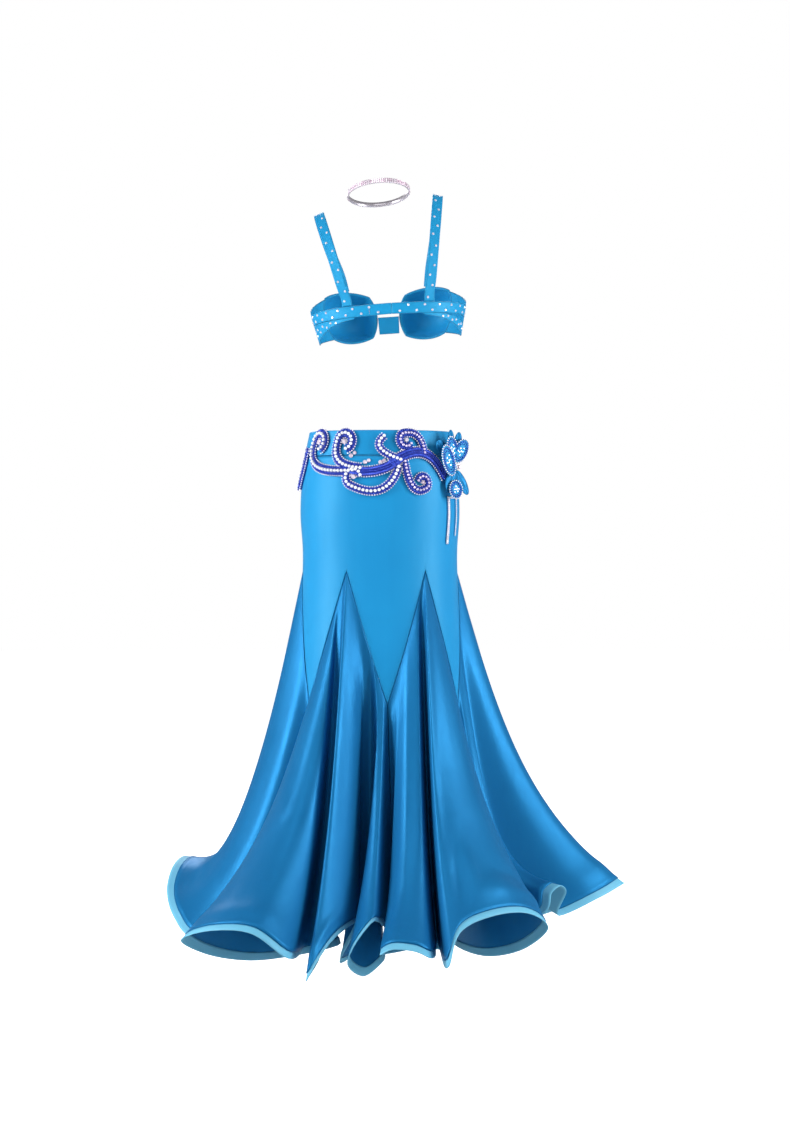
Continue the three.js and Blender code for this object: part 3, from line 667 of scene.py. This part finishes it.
def strewn(name, kind, places, material, smooth_faces=True):
    """One piece of many copies of a bead: each place is a matrix and its size in millimetres."""
    shape = template(kind)
    bm = bmesh.new()
    for matrix, size in places:
        sizes = size if isinstance(size, tuple) else (size, size, size)
        full = matrix @ Matrix.Diagonal((*(s * MM for s in sizes), 1))
        shape.transform(full)
        bm.from_mesh(shape)
        shape.transform(full.inverted())
    obj = object_of(bm, name)
    if not smooth_faces:
        obj.data.polygons.foreach_set("use_smooth", [False] * len(obj.data.polygons))
    bpy.data.meshes.remove(shape)
    return settle(obj, material, [], replaced=False)


# ---- Applique
PAD_LIFT = 0.7
PAD_HIGH = 6
HIP_REACH = 146
SCROLL_STEPS = 9
CURL_STEPS = 7
CURL_IN = 0.2
# Each scroll: tail, sway, eye, curl, sweep in degrees, half its width, and how it is beaded.
SCROLLS = (
    ((20, -38), (92, 14), (134, -62), 0, 0, 10.5, "blue"),
    ((36, -31), (-14, -66), (-66, -44), 0, 0, 10, "blue"),
    ((34, -44), (10, -112), (-48, -62), 16, 215, 8, "white"),
    ((46, -34), (54, -104), (80, -72), 13, -200, 8, "lilac"),
    ((88, -18), (86, 26), (52, 5), 14, -200, 8.5, "lilac"),
    ((38, -31), (-22, -10), (8, 12), 0, 0, 7.5, "white"),
    ((-36, -46), (-104, -42), (-70, 2), 17, 215, 9.5, "white"),
    ((-50, -50), (-178, -58), (-134, 2), 17, 215, 9.5, "white"),
    ((-180, -8), (-184, -48), (-216, -80), 0, 0, 9, "white"),
)
# The rows of beads across a scroll: place as a share of its half width, bead, size, pitch.
BEADING = {
    "white": ((-0.93, "silver", 2.9, 4.6), (-0.56, "royal", 3.0, 4.0), (0.0, "white", 6.4, 7.0),
              (0.56, "royal", 3.0, 4.0), (0.93, "silver", 2.9, 4.6)),
    "blue": ((-0.93, "silver", 2.9, 4.6), (-0.5, "bugle", 6.0, 3.2), (0.0, "royal", 3.2, 4.2),
             (0.5, "bugle", 6.0, 3.2), (0.93, "silver", 2.9, 4.6)),
    "lilac": ((-0.93, "silver", 2.8, 4.6), (-0.5, "royal", 3.0, 4.1), (0.05, "lilac", 5.2, 6.2),
              (0.55, "royal", 3.0, 4.1), (0.93, "silver", 2.8, 4.6)),
}


def on_pad(spot, out):
    return on_body(HIP, math.degrees(spot[0] / HIP_REACH), spot[1], PAD_LIFT + out)


def scroll_line(tail, sway, eye, curl, sweep):
    start, middle, end = Vector(tail), Vector(sway), Vector(eye)
    side = math.copysign(1, sweep)
    away = (end - middle).normalized()
    away = Vector((-away.y, away.x)) * side
    entry = end + away * curl
    line = []
    for k in range(SCROLL_STEPS + 1):
        t = k / SCROLL_STEPS
        line.append(start * (1 - t) ** 2 + middle * 2 * t * (1 - t) + entry * t * t)
    for k in range(1, CURL_STEPS + 1 if curl else 1):
        t = k / CURL_STEPS
        spoke = away.copy()
        spoke.rotate(Matrix.Rotation(-math.radians(sweep) * t, 2))
        line.append(end + spoke * curl * (1 - CURL_IN * t))
    return line


def spaced(line, pitch):
    """Points on a line at an even pitch, with the direction at each."""
    total = sum((b - a).length for a, b in zip(line, line[1:]))
    count = max(2, round(total / pitch))
    found, done, want = [], 0.0, 0.0
    step = total / count
    for a, b in zip(line, line[1:]):
        length = (b - a).length
        while want <= done + length + 1e-6 and len(found) <= count:
            found.append((a.lerp(b, (want - done) / length), (b - a).normalized()))
            want += step
        done += length
    return found


def finer(line):
    """The same line with rounded bends."""
    points = [line[0] * 2 - line[1], *line, line[-1] * 2 - line[-2]]
    points = [Vector((p.x, p.y, 0)) for p in points]
    fine = []
    for i in range(1, len(points) - 2):
        for t in (0, 0.25, 0.5, 0.75):
            fine.append(spline(*points[i - 1 : i + 3], t).to_2d())
    fine.append(line[-1])
    return fine


def crown(share):
    """Height of a pad's skin at a share of its half width."""
    return PAD_HIGH * (1 - abs(share) ** 2.6 * 0.62)


def pad_piece(name, lines, material, nodes):
    """Padded ground of the scrolls: a rounded strip along each line, closed at its ends."""
    bm = bmesh.new()
    for line, half in lines:
        fine = finer(line)
        made = bmesh.ops.create_grid(bm, x_segments=len(fine) - 1, y_segments=10, size=0.5)
        for vert in made["verts"]:
            k = round((vert.co.x + 0.5) * (len(fine) - 1))
            share = vert.co.y * 2
            along = (fine[min(k + 1, len(fine) - 1)] - fine[max(k - 1, 0)]).normalized()
            across = Vector((-along.y, along.x))
            end = min(k, len(fine) - 1 - k)
            tip = (0.55, 0.86, 1)[min(end, 2)]
            spot = fine[k] + across * share * half * tip
            high = crown(share) * tip - 0.3
            vert.co = on_pad(spot, 0.05 if abs(share) > 0.99 else high) * MM
    bm.normal_update()
    bmesh.ops.recalc_face_normals(bm, faces=bm.faces)
    bm.normal_update()
    outward = sum(f.normal.dot(f.calc_center_median() * Vector((1, 1, 0))) for f in bm.faces)
    if outward < 0:
        bmesh.ops.reverse_faces(bm, faces=bm.faces)
    obj = object_of(bm, name)
    thick = obj.modifiers.new("wall", "SOLIDIFY")
    thick.thickness = 0.5 * MM
    thick.offset = -1
    return settle(obj, material, nodes)


def beaded_lines(lines, places):
    for line, half, style in lines:
        fine = finer(line)
        for share, bead, size, pitch in BEADING[style]:
            beside = []
            for k, point in enumerate(fine):
                along = (fine[min(k + 1, len(fine) - 1)] - fine[max(k - 1, 0)]).normalized()
                beside.append(point + Vector((-along.y, along.x)) * share * half)
            for spot, way in spaced(beside, pitch):
                here = on_pad(spot, crown(share) - 0.5)
                out = on_pad(spot, crown(share) + 1) - here
                ahead = on_pad(spot + way * 0.5, crown(share) - 0.5) - here
                if bead == "bugle":
                    ahead = ahead.normalized() + out.normalized().cross(ahead).normalized() * 0.8
                places.setdefault(bead, []).append((standing(here, out, ahead), size))


SCROLL_LINES = [(scroll_line(*row[:5]), *row[5:]) for row in SCROLLS]
pads = [row[:2] for row in SCROLL_LINES]
pad_piece("applique_ground", pads[:-1], GROUND, ["hip_applique"])
pad_piece("side_applique_ground", pads[-1:], GROUND, ["side_applique"])
bead_places = {}
beaded_lines(SCROLL_LINES, bead_places)

# Stones in the eyes of the curls and the small buds on the stem: round, up, size.
EYES = ((-48, -62, 9), (80, -72, 7), (52, 5, 8), (-70, 2, 10), (-134, 2, 10))
BUDS = ((-56, -23, 8), (-49, -18, 7), (-28, -35, 8), (-21, -32, 7), (1, -35, 8), (8, -32, 7))
eye_places = []
for around, up, size in EYES:
    here = on_pad((around, up), 4.5)
    eye_places.append((standing(here, on_pad((around, up), 6) - here, Vector((0, 0, 1))), size))
for around, up, size in BUDS:
    here = on_pad((around, up), 0.3)
    eye_places.append((standing(here, on_pad((around, up), 2) - here, Vector((0, 0, 1))), size))

# ---- Flower and stone drops
FLOWER = (62, -42)
FLOWER_LIFT = 12
FLOWER_FACE = 34
FLOWER_CUP = 4
FLOWER_REACH = 50
PETAL_RIM = 0.4
# Each petal: its ovals (to the front, up, angle, half length, half width), level, height, whether beaded.
PETALS = (
    ("left", ((-22.5, 9.6, 109, 30, 14),), 11, 4.5, True),
    ("upper", ((-10.5, 30, 109, 25, 12.5), (7.5, 27, 62, 24, 15.5)), 6.2, 4.5, True),
    ("lower", ((-4.5, -43, 262, 17.5, 15),), 6.2, 4.5, True),
    ("right", ((15.5, -30, 297, 25, 10),), 0, 2.4, False),
    ("low", ((-10.5, -27, 246, 23, 12),), 3.1, 2.4, False),
    ("top", ((5, 34, 86, 28, 10), (-9, 42, 100, 24, 8)), 0, 2.4, False),
    ("side", ((-30, 32, 135, 18, 11),), 0, 2.4, False),
)
FLOWER_EYE = (3, -1.5, 5.5, 4.6, 16)
PETAL_RIMS = ((0.95, "silver", 3.0, 4.4), (0.76, "royal", 3.0, 4.0), (0.58, "royal", 2.6, 4.2))

flower_middle = on_body(HIP, *FLOWER, FLOWER_LIFT)
face = math.radians(FLOWER_FACE)
flower_out = place(math.sin(face), math.cos(face), 0)
flower_up = Vector((0, 0, 1))
flower_front = flower_up.cross(flower_out)


def round_off(u, v, square):
    return u * math.sqrt(1 - square * v * v), v * math.sqrt(1 - square * u * u)


def on_flower(x, y, out):
    rise = FLOWER_CUP * (math.hypot(x, y) / FLOWER_REACH) ** 2
    return flower_middle + flower_front * x + flower_up * y + flower_out * (rise + out)


def oval_point(oval, a, b):
    front, up, angle, long, wide = oval
    c, s = math.cos(math.radians(angle)), math.sin(math.radians(angle))
    return front + a * long * c - b * wide * s, up + a * long * s + b * wide * c


def inside_oval(oval, x, y):
    """Below 1 inside the oval."""
    front, up, angle, long, wide = oval
    c, s = math.cos(math.radians(angle)), math.sin(math.radians(angle))
    return math.hypot(((x - front) * c + (y - up) * s) / long, ((y - up) * c - (x - front) * s) / wide)


def petal(name, ovals, level, high, beaded, places):
    def skin(a, b):
        dome = math.sqrt(max(0, 1 - a * a - b * b))
        vein = 0 if beaded else 0.7 * math.exp(-((b / 0.09) ** 2)) + 0.2 * math.cos(7 * a + 3 * b)
        return level + high * lerp(PETAL_RIM, 1, dome) - vein

    bm = bmesh.new()
    for oval in ovals:
        made = bmesh.ops.create_grid(bm, x_segments=28, y_segments=20, size=1)
        for vert in made["verts"]:
            a, b = round_off(vert.co.x, vert.co.y, 0.5)
            vert.co = on_flower(*oval_point(oval, a, b), skin(a, b)) * MM
    bm.normal_update()
    if sum(f.normal.dot(flower_out) for f in bm.faces) < 0:
        bmesh.ops.reverse_faces(bm, faces=bm.faces)
    obj = object_of(bm, f"petal_{name}_cloth")
    thick = obj.modifiers.new("wall", "SOLIDIFY")
    thick.thickness = high * PETAL_RIM * MM
    thick.offset = -1
    settle(obj, LYCRA if beaded else SATIN, [f"petal_{name}"])
    if not beaded:
        return
    for number, oval in enumerate(ovals):
        others = [other for k, other in enumerate(ovals) if k != number]
        for ring, bead, size, pitch in PETAL_RIMS:
            turns = [math.radians(d) for d in range(0, 361, 6)]
            outline = [Vector(oval_point(oval, ring * math.cos(t), ring * math.sin(t))) for t in turns]
            for point, ahead in spaced(outline, pitch):
                if any(inside_oval(other, *point) < ring for other in others):
                    continue
                out = skin(ring * 0.9, 0)
                here = on_flower(*point, out - 0.3)
                forward = on_flower(*(point + ahead), out - 0.3) - here
                places.setdefault(bead, []).append((standing(here, flower_out, forward), size))
        for k in range(7):
            reach = 0.42 * (k / 7) ** 0.5
            a, b = reach * math.cos(2.4 * k), reach * math.sin(2.4 * k)
            here = on_flower(*oval_point(oval, a, b), skin(a, b) - 0.1)
            places.setdefault("tiny", []).append((standing(here, flower_out, flower_up), 3.0))


for row in PETALS:
    petal(*row, bead_places)
for k in range(9):
    reach = (k / 8) ** 0.5 * 0.8
    x = FLOWER_EYE[0] + FLOWER_EYE[2] * reach * math.cos(2.4 * k)
    y = FLOWER_EYE[1] + FLOWER_EYE[3] * reach * math.sin(2.4 * k)
    here = on_flower(x, y, FLOWER_EYE[4] * (1 - 0.45 * reach**2) - 1.5)
    eye_places.append((standing(here, flower_out, flower_up), 4.6 if k else 6))

DROPS = ((57.5, -181, 7.0), (69.5, -166, 3.6))
DROP_BAR = -98
drop_places = []
for turn, low, wide in DROPS:
    count = round((DROP_BAR - low) / 3.6)
    for k in range(count + 1):
        height = lerp(DROP_BAR, low, k / count)
        for side in (-1, 1) if wide > 5 else (0,):
            spot = (math.radians(turn) * HIP_REACH + side * wide / 4, height)
            here = on_pad(spot, 1.6)
            drop_places.append((standing(here, on_pad(spot, 3) - here, Vector((0, 0, 1))), 3.9))
for k in range(9):
    ends = [math.radians(turn) * HIP_REACH for turn, _, _ in DROPS]
    spot = (lerp(ends[0] - 3, ends[1] + 3, k / 8), DROP_BAR)
    here = on_pad(spot, 2)
    drop_places.append((standing(here, on_pad(spot, 4) - here, Vector((0, 0, 1))), 4.6))

strewn("royal_beads", "bead", bead_places["royal"], BLUE_BEADS)
strewn("bugle_beads", "bugle", bead_places["bugle"], BLUE_BEADS)
strewn("silver_beads", "bead", bead_places["silver"], SILVER_BEADS)
strewn("white_beads", "bead", bead_places["white"], WHITE_BEADS)
strewn("lilac_beads", "bead", bead_places["lilac"], LILAC_BEADS)
strewn("petal_stones", "stone", bead_places["tiny"], STONE, smooth_faces=False)
eye_stones = strewn("curl_eye_stones", "stone", eye_places, PINK_STONE, smooth_faces=False)
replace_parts(eye_stones, "flower_eye")
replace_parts(strewn("drop_stones", "stone", drop_places, STONE, smooth_faces=False), "stone_drops")


# ---- Bra top, in its own frame
BRA_MIDDLE = place(16, 0, 244)
BRA = Matrix.Translation(BRA_MIDDLE) @ Matrix.Rotation(math.radians(3.8), 4, "Y")
TORSO = (
    (-62, 127, 84, 94),
    (-30, 134, 88, 98),
    (0, 141, 92, 102),
    (40, 146, 92, 104),
    (70, 148, 90, 102),
)
CLOSURE = 2
CLOSURE_GAP = 0.3
WING_TURN = 92
UNDER_TURN = 27
STRAP = 2
CUP = 3
BAND = ((0, 10, -10), (45, 8.5, -11.5), (92, 3.5, -16))
UNDER_OPEN = ((27, -10.9, -12.5), (45, -12.2, -20), (60, -17, -30), (75, -24, -41), (92, -32, -50))
UNDER_SHUT = ((27, -10.9, -12.5), (45, -12, -20), (60, -13.1, -31), (75, -14.7, -42), (92, -16.6, -51))


def on_torso(turn, height, out=0.0):
    return BRA @ on_body(TORSO, turn, height, out)


def hemmed(v, high=0.35, share=0.1):
    """The thicker edge where a band is turned in and sewn."""
    return high * max(0, 1 - min(v, 1 - v) / share)


def band_piece(
    name, table, side, start, stop, columns, node_name, flat, outer=STRAP, gather=None, area=None
):
    def at(u, v):
        turn = lerp(start, stop, u)
        height = lerp(smooth(table, abs(turn), 1), smooth(table, abs(turn), 2), v)
        out = outer - 0.4 + hemmed(v) + (gather(turn, v) if gather else 0)
        return on_torso(side * turn, height, out)

    piece = sheet_piece(
        name, columns, 10, at, flat, STRAP - 0.5, centre=BRA_MIDDLE,
        seam=lambda u, v: 0.6 + 22 * min(v, 1 - v),
    )
    settle(piece, BAND_CLOTH, [node_name])
    return piece


def gathered(turn, v):
    """Small level creases beside the closure."""
    return -0.5 * math.exp(-((turn - 3) / 5) ** 2) * (0.5 + 0.5 * math.cos(5 * 2 * math.pi * v)) - 0.01


band_piece(
    "back_band_left_cloth", BAND, -1, -CLOSURE, WING_TURN, 96, "back_band_left", (0.205, 0.023),
    gather=gathered,
)
band_piece(
    "back_band_right_cloth", BAND, 1, CLOSURE + CLOSURE_GAP, WING_TURN, 96, "back_band_right",
    (0.195, 0.023), gather=gathered,
)
band_piece(
    "under_strap_left_cloth", UNDER_SHUT, -1, UNDER_TURN, WING_TURN, 72, "under_strap_left",
    (0.14, 0.034), area=0.0023,
)
band_piece(
    "under_strap_right_cloth", UNDER_OPEN, 1, UNDER_TURN, WING_TURN, 72, "under_strap_right",
    (0.14, 0.019), area=0.0017,
)
band_piece(
    "hook_tab_cloth", ((0, 9, -9), (20, 9, -9)), 1, -15, 9, 32, "hook_tab", (0.06, 0.018), outer=-0.9
)

STRAP_HALF = 9.5
STRAP_FACE = 0.42
SHOULDER_ROLL = 10
SHOULDER_LEAN = 6
STRAP_ROUTE = (
    (75, 79, 10, 0),
    (76, 80.5, 22, 0.05),
    (82.3, 84, 50, 0.2),
    (92.5, 80, 104, 0.5),
    (103, 56, 160, 0.8),
    (110.5, 18, 198.5, 1),
    (109, -30, 186, 0.9),
    (98, -76, 132, 0.45),
    (85, -92, 84, 0.1),
    (79.5, -88.8, 53.2, 0),
)


def strap_line(side, count):
    """Points at an even pitch along a shoulder strap, with the direction at each."""
    rows = [
        place(side * r[0] - r[3] * SHOULDER_LEAN, r[1], r[2] + side * r[3] * SHOULDER_ROLL)
        for r in STRAP_ROUTE
    ]
    rows = [rows[0] * 2 - rows[1], *rows, rows[-1] * 2 - rows[-2]]
    fine = [spline(*rows[i - 1 : i + 3], t / 40) for i in range(1, len(rows) - 2) for t in range(40)]
    fine.append(rows[-2])
    lengths = [0.0]
    for a, b in zip(fine, fine[1:]):
        lengths.append(lengths[-1] + (b - a).length)
    found, i = [], 0
    for k in range(count + 1):
        want = lengths[-1] * k / count
        while i < len(fine) - 2 and lengths[i + 1] < want:
            i += 1
        t = (want - lengths[i]) / (lengths[i + 1] - lengths[i])
        found.append((fine[i].lerp(fine[i + 1], t), (fine[i + 1] - fine[i]).normalized()))
    return found, lengths[-1]


def strap_frame(middle, along):
    away = middle - Vector((0, 0, 60))
    away.x *= STRAP_FACE
    out = (away - along * away.dot(along)).normalized()
    return out, along.cross(out).normalized()


STRAP_COLUMNS = 120


def shoulder_strap(name, side, places):
    line, length = strap_line(side, STRAP_COLUMNS)

    def at(u, v):
        middle, along = line[round(u * STRAP_COLUMNS)]
        out, across = strap_frame(middle, along)
        lift = STRAP / 2 - 0.3 + hemmed(v, 0.3, 0.12)
        return BRA @ (middle + across * (2 * v - 1) * STRAP_HALF + out * lift)

    flat = (length * MM, 2 * STRAP_HALF * MM)
    piece = sheet_piece(
        name + "_cloth", STRAP_COLUMNS, 8, at, flat, STRAP - 0.4, centre=BRA_MIDDLE + Vector((0, 0, 60)),
        seam=lambda u, v: 0.6 + 19 * min(v, 1 - v),
    )
    # The sheet's outer side faces away from the shoulder.
    middle, along = line[STRAP_COLUMNS // 2]
    out = BRA.to_3x3() @ strap_frame(middle, along)[0]
    faces = piece.data.polygons
    nearest = min(faces, key=lambda f: (f.center - (BRA @ middle) * MM).length)
    if nearest.normal.dot(out) < 0:
        piece.data.flip_normals()
    settle(piece, BAND_CLOTH, [name])
    count = round(length / 19)
    for k in range(count):
        middle, along = line[round((k + 0.45) / count * STRAP_COLUMNS)]
        out, across = strap_frame(middle, along)
        spot = BRA @ (middle + across * (3.6 if k % 2 else -3.6) + out * (STRAP / 2 - 0.5))
        places.append((standing(spot, BRA.to_3x3() @ out, BRA.to_3x3() @ along), 4.6))


CUP_TURN = 147.4
CUP_SPAN = 24.5
CUP_MIDDLE = 3
CUP_TALL = 49
CUP_DEEP = 42
CUP_SQUARE = 0.36
WING_TOP = 12
WING_BOTTOM = -50
WING_GAP = (0.25, 0.3)


def cup(name, side):
    def at(u, v):
        x, y = 2 * u - 1, 2 * v - 1
        a, b = round_off(x, y, CUP_SQUARE)
        full = max(0, 1 - (a * a + b * b) / (2 - 2 * CUP_SQUARE)) ** 0.8
        swell = CUP_DEEP * full * (1 - max(abs(x), abs(y)) ** 6)
        return on_torso(side * (CUP_TURN + CUP_SPAN * a), CUP_MIDDLE + CUP_TALL * b, swell + CUP - 0.02)

    def from_seam(u, v):
        return 60 * min(u, 1 - u, v, 1 - v)

    piece = sheet_piece(name + "_cloth", 40, 40, at, (0.155, 0.145), CUP, centre=BRA_MIDDLE, seam=from_seam)
    settle(piece, BAND_CLOTH, [name])


def wing(name, side):
    def at(u, v):
        b = lerp(0.74, -0.84, v)
        edge = math.sqrt(1 - CUP_SQUARE * (b / math.sqrt(1 - CUP_SQUARE)) ** 2)
        front = CUP_TURN - CUP_SPAN * edge - WING_GAP[1]
        back = lerp(WING_TOP, WING_BOTTOM, v)
        turn = lerp(WING_TURN + WING_GAP[0], front, u)
        return on_torso(side * turn, lerp(back, CUP_MIDDLE + CUP_TALL * b, u), STRAP - 0.02)

    piece = sheet_piece(
        name + "_cloth", 40, 24, at, (0.085, 0.083), STRAP, centre=BRA_MIDDLE,
        seam=lambda u, v: 80 * min(u, 1 - u, v, 1 - v),
    )
    settle(piece, BAND_CLOTH, [name])


band_stones = []
for label, side in (("left", -1), ("right", 1)):
    shoulder_strap(f"shoulder_strap_{label}", side, band_stones)
    cup(f"cup_{label}", side)
    wing(f"side_wing_{label}", side)

GORE = (172.02, 187.98)
gore_rows = ((GORE[0], 2, -30), (GORE[1], 2, -30))
band_piece("centre_gore_cloth", gore_rows, 1, *GORE, 16, "centre_gore", (0.04, 0.032))

# Stones of the bands: two rows, every 30 mm, the lower ones between the upper ones.
BAND_PITCH = 30
BAND_RADIUS = 132
for side in (-1, 1):
    for k in range(14):
        turn = 8 + math.degrees(k * BAND_PITCH / 2 / BAND_RADIUS)
        if turn > WING_TURN - 2:
            break
        middle = lerp(smooth(BAND, turn, 1), smooth(BAND, turn, 2), 0.5)
        here = on_torso(side * turn, middle + (5 if k % 2 else -5), STRAP - 0.5)
        out = on_torso(side * turn, middle, STRAP + 1) - on_torso(side * turn, middle, STRAP - 0.5)
        band_stones.append((standing(here, out, Vector((0, 0, 1))), 4.6))
    table = UNDER_OPEN if side > 0 else UNDER_SHUT
    for k in range(9):
        turn = 45 + k * 6
        if turn > WING_TURN - 2:
            break
        middle = lerp(smooth(table, turn, 1), smooth(table, turn, 2), 0.35 if k % 2 else 0.65)
        here = on_torso(side * turn, middle, STRAP - 0.5)
        out = on_torso(side * turn, middle, STRAP + 1) - here
        band_stones.append((standing(here, out, Vector((0, 0, 1))), 4.4))
# Stones of the cups, in even rows.
for side in (-1, 1):
    for a, b in ((x / 4, y / 4) for x in range(-3, 4) for y in range(-3, 4)):
        if a * a + b * b > 0.75:
            continue
        spread = a + (0.125 if round(b * 4) % 2 else 0)

        def on_cup(more, a=spread, b=b, side=side):
            full = max(0, 1 - (a * a + b * b) / (2 - 2 * CUP_SQUARE)) ** 0.8
            swell = CUP_DEEP * full * (1 - max(abs(a), abs(b)) ** 6)
            return on_torso(side * (CUP_TURN + CUP_SPAN * a), CUP_MIDDLE + CUP_TALL * b, swell + CUP + more)

        here = on_cup(-0.3)
        band_stones.append((standing(here, on_cup(1) - here, Vector((0, 0, 1))), 4.6))
strewn("bra_stones", "stone", band_stones, STONE, smooth_faces=False)

# Stitches that hold the hook tab behind the left band.
stitches = []
for k in range(5):
    here = on_torso(-14.6, 6 - 3 * k, STRAP - 0.3)
    out = on_torso(-14.6, 6 - 3 * k, STRAP + 1) - here
    stitches.append((standing(here, out, Vector((0, 0, 1))), (2.0, 1.0, 1.0)))
THREAD = bead_finish("tacking thread", (0.45, 0.22, 0.22), (0.35, 0.15, 0.16), 0.7, 0.0, 400)
strewn("tab_stitches", "bead", stitches, THREAD)

# ---- Choker
CHOKER_REACH = 55
CHOKER_HIGH = 9
CHOKER_STONE = (3.9, 3.1, 1.8)
NECK = Matrix.Translation(place(-3, 5, 466)) @ Matrix.Rotation(math.radians(15), 4, "X")
NECK = NECK @ Matrix.Rotation(math.radians(5), 4, "Y")


def choker():
    bm = bmesh.new()
    bmesh.ops.create_circle(bm, segments=96, radius=(CHOKER_REACH + 0.6) * MM)
    bmesh.ops.translate(bm, verts=bm.verts, vec=(0, 0, CHOKER_HIGH / 2 * MM))
    sides = bmesh.ops.extrude_edge_only(bm, edges=bm.edges[:])["geom"]
    moved = [v for v in sides if isinstance(v, bmesh.types.BMVert)]
    bmesh.ops.translate(bm, verts=moved, vec=(0, 0, -CHOKER_HIGH * MM))
    bmesh.ops.recalc_face_normals(bm, faces=bm.faces)
    if sum(f.normal.dot(f.calc_center_median() * Vector((1, 1, 0))) for f in bm.faces) < 0:
        bmesh.ops.reverse_faces(bm, faces=bm.faces)
    turn = NECK.to_3x3().to_4x4()
    bmesh.ops.transform(bm, matrix=Matrix.Translation(NECK.translation * MM) @ turn, verts=bm.verts)
    ring = object_of(bm, "choker_setting")
    thick = ring.modifiers.new("wall", "SOLIDIFY")
    thick.thickness = 1.2 * MM
    thick.offset = 1
    settle(ring, SETTING, ["choker"])
    places = []
    count = 96
    for k in range(count):
        angle = 2 * math.pi * k / count
        out = Vector((math.cos(angle), math.sin(angle), 0))
        for row in (-1, 1):
            spot = NECK @ (out * (CHOKER_REACH + 2.4) + Vector((0, 0, row * 2.2)))
            turned = NECK.to_3x3()
            frame_of = standing(spot, turned @ out, turned @ Vector((0, 0, 1)))
            places.append((frame_of, CHOKER_STONE))
    strewn("choker_stones", "baguette", places, PINK_STONE, smooth_faces=False)


choker()

# ---- Floor, light and camera
FLOOR = -1.022
bm = bmesh.new()
bmesh.ops.create_circle(bm, cap_ends=True, segments=64, radius=14)
bmesh.ops.translate(bm, verts=bm.verts, vec=(0, 0, FLOOR))
floor = object_of(bm, "floor")
floor_material, floor_tree, floor_shader = finish(
    "pale floor", (0.8, 0.8, 0.8), 0.9, Emission_Color=(1, 1, 1, 1)
)
shown = floor_tree.nodes.new("ShaderNodeLightPath")
glow = math_node(floor_tree, "MULTIPLY", shown.outputs["Is Camera Ray"], 0.95)
floor_tree.links.new(glow, floor_shader.inputs["Emission Strength"])
floor.data.materials.append(floor_material)

world = bpy.data.worlds.new("studio")
world.use_nodes = True
bpy.context.scene.world = world
sky = world.node_tree
background = sky.nodes["Background"]
background.inputs["Color"].default_value = (1, 1, 1, 1)
background.inputs["Strength"].default_value = 0.2
seen = sky.nodes.new("ShaderNodeBackground")
seen.inputs["Color"].default_value = (1, 1, 1, 1)
seen.inputs["Strength"].default_value = 1.0
either = sky.nodes.new("ShaderNodeMixShader")
paths = sky.nodes.new("ShaderNodeLightPath")
sky.links.new(paths.outputs["Is Camera Ray"], either.inputs["Fac"])
sky.links.new(background.outputs["Background"], either.inputs[1])
sky.links.new(seen.outputs["Background"], either.inputs[2])
sky.links.new(either.outputs["Shader"], sky.nodes["World Output"].inputs["Surface"])

AIM = Vector((0, 0, -0.3))
# Softboxes: place, width, height, power.
LIGHTS = (
    ("left softbox", (2.75, 1.15, 0.4), 1.0, 2.6, 110),
    ("right softbox", (-2.75, 1.15, 0.3), 1.0, 2.6, 92),
    ("high softbox", (0.2, 2.4, 2.6), 2.2, 1.2, 26),
    ("far softbox", (0.5, -3.0, 1.6), 2.4, 2.0, 66),
)
for label, spot, wide, tall, power in LIGHTS:
    lamp = bpy.data.lights.new(label, "AREA")
    lamp.shape = "RECTANGLE"
    lamp.size, lamp.size_y, lamp.energy = wide, tall, power
    stand = bpy.data.objects.new(label, lamp)
    stand.location = spot
    stand.rotation_euler = (AIM - Vector(spot)).to_track_quat("-Z", "Y").to_euler()
    bpy.context.collection.objects.link(stand)

camera_data = bpy.data.cameras.new("camera")
camera_data.sensor_fit = "VERTICAL"
camera_data.sensor_height = 36
camera_data.lens = 2432.4 / 1147 * 36
camera_data.shift_x = 15 / 1147
camera_data.shift_y = -35.5 / 1147
camera = bpy.data.objects.new("camera", camera_data)
camera.location = (0, 4.5, -0.172)
camera.rotation_euler = (math.radians(90), 0, math.radians(180))
bpy.context.collection.objects.link(camera)
bpy.context.scene.camera = camera
bpy.context.scene.view_settings.view_transform = "Standard"
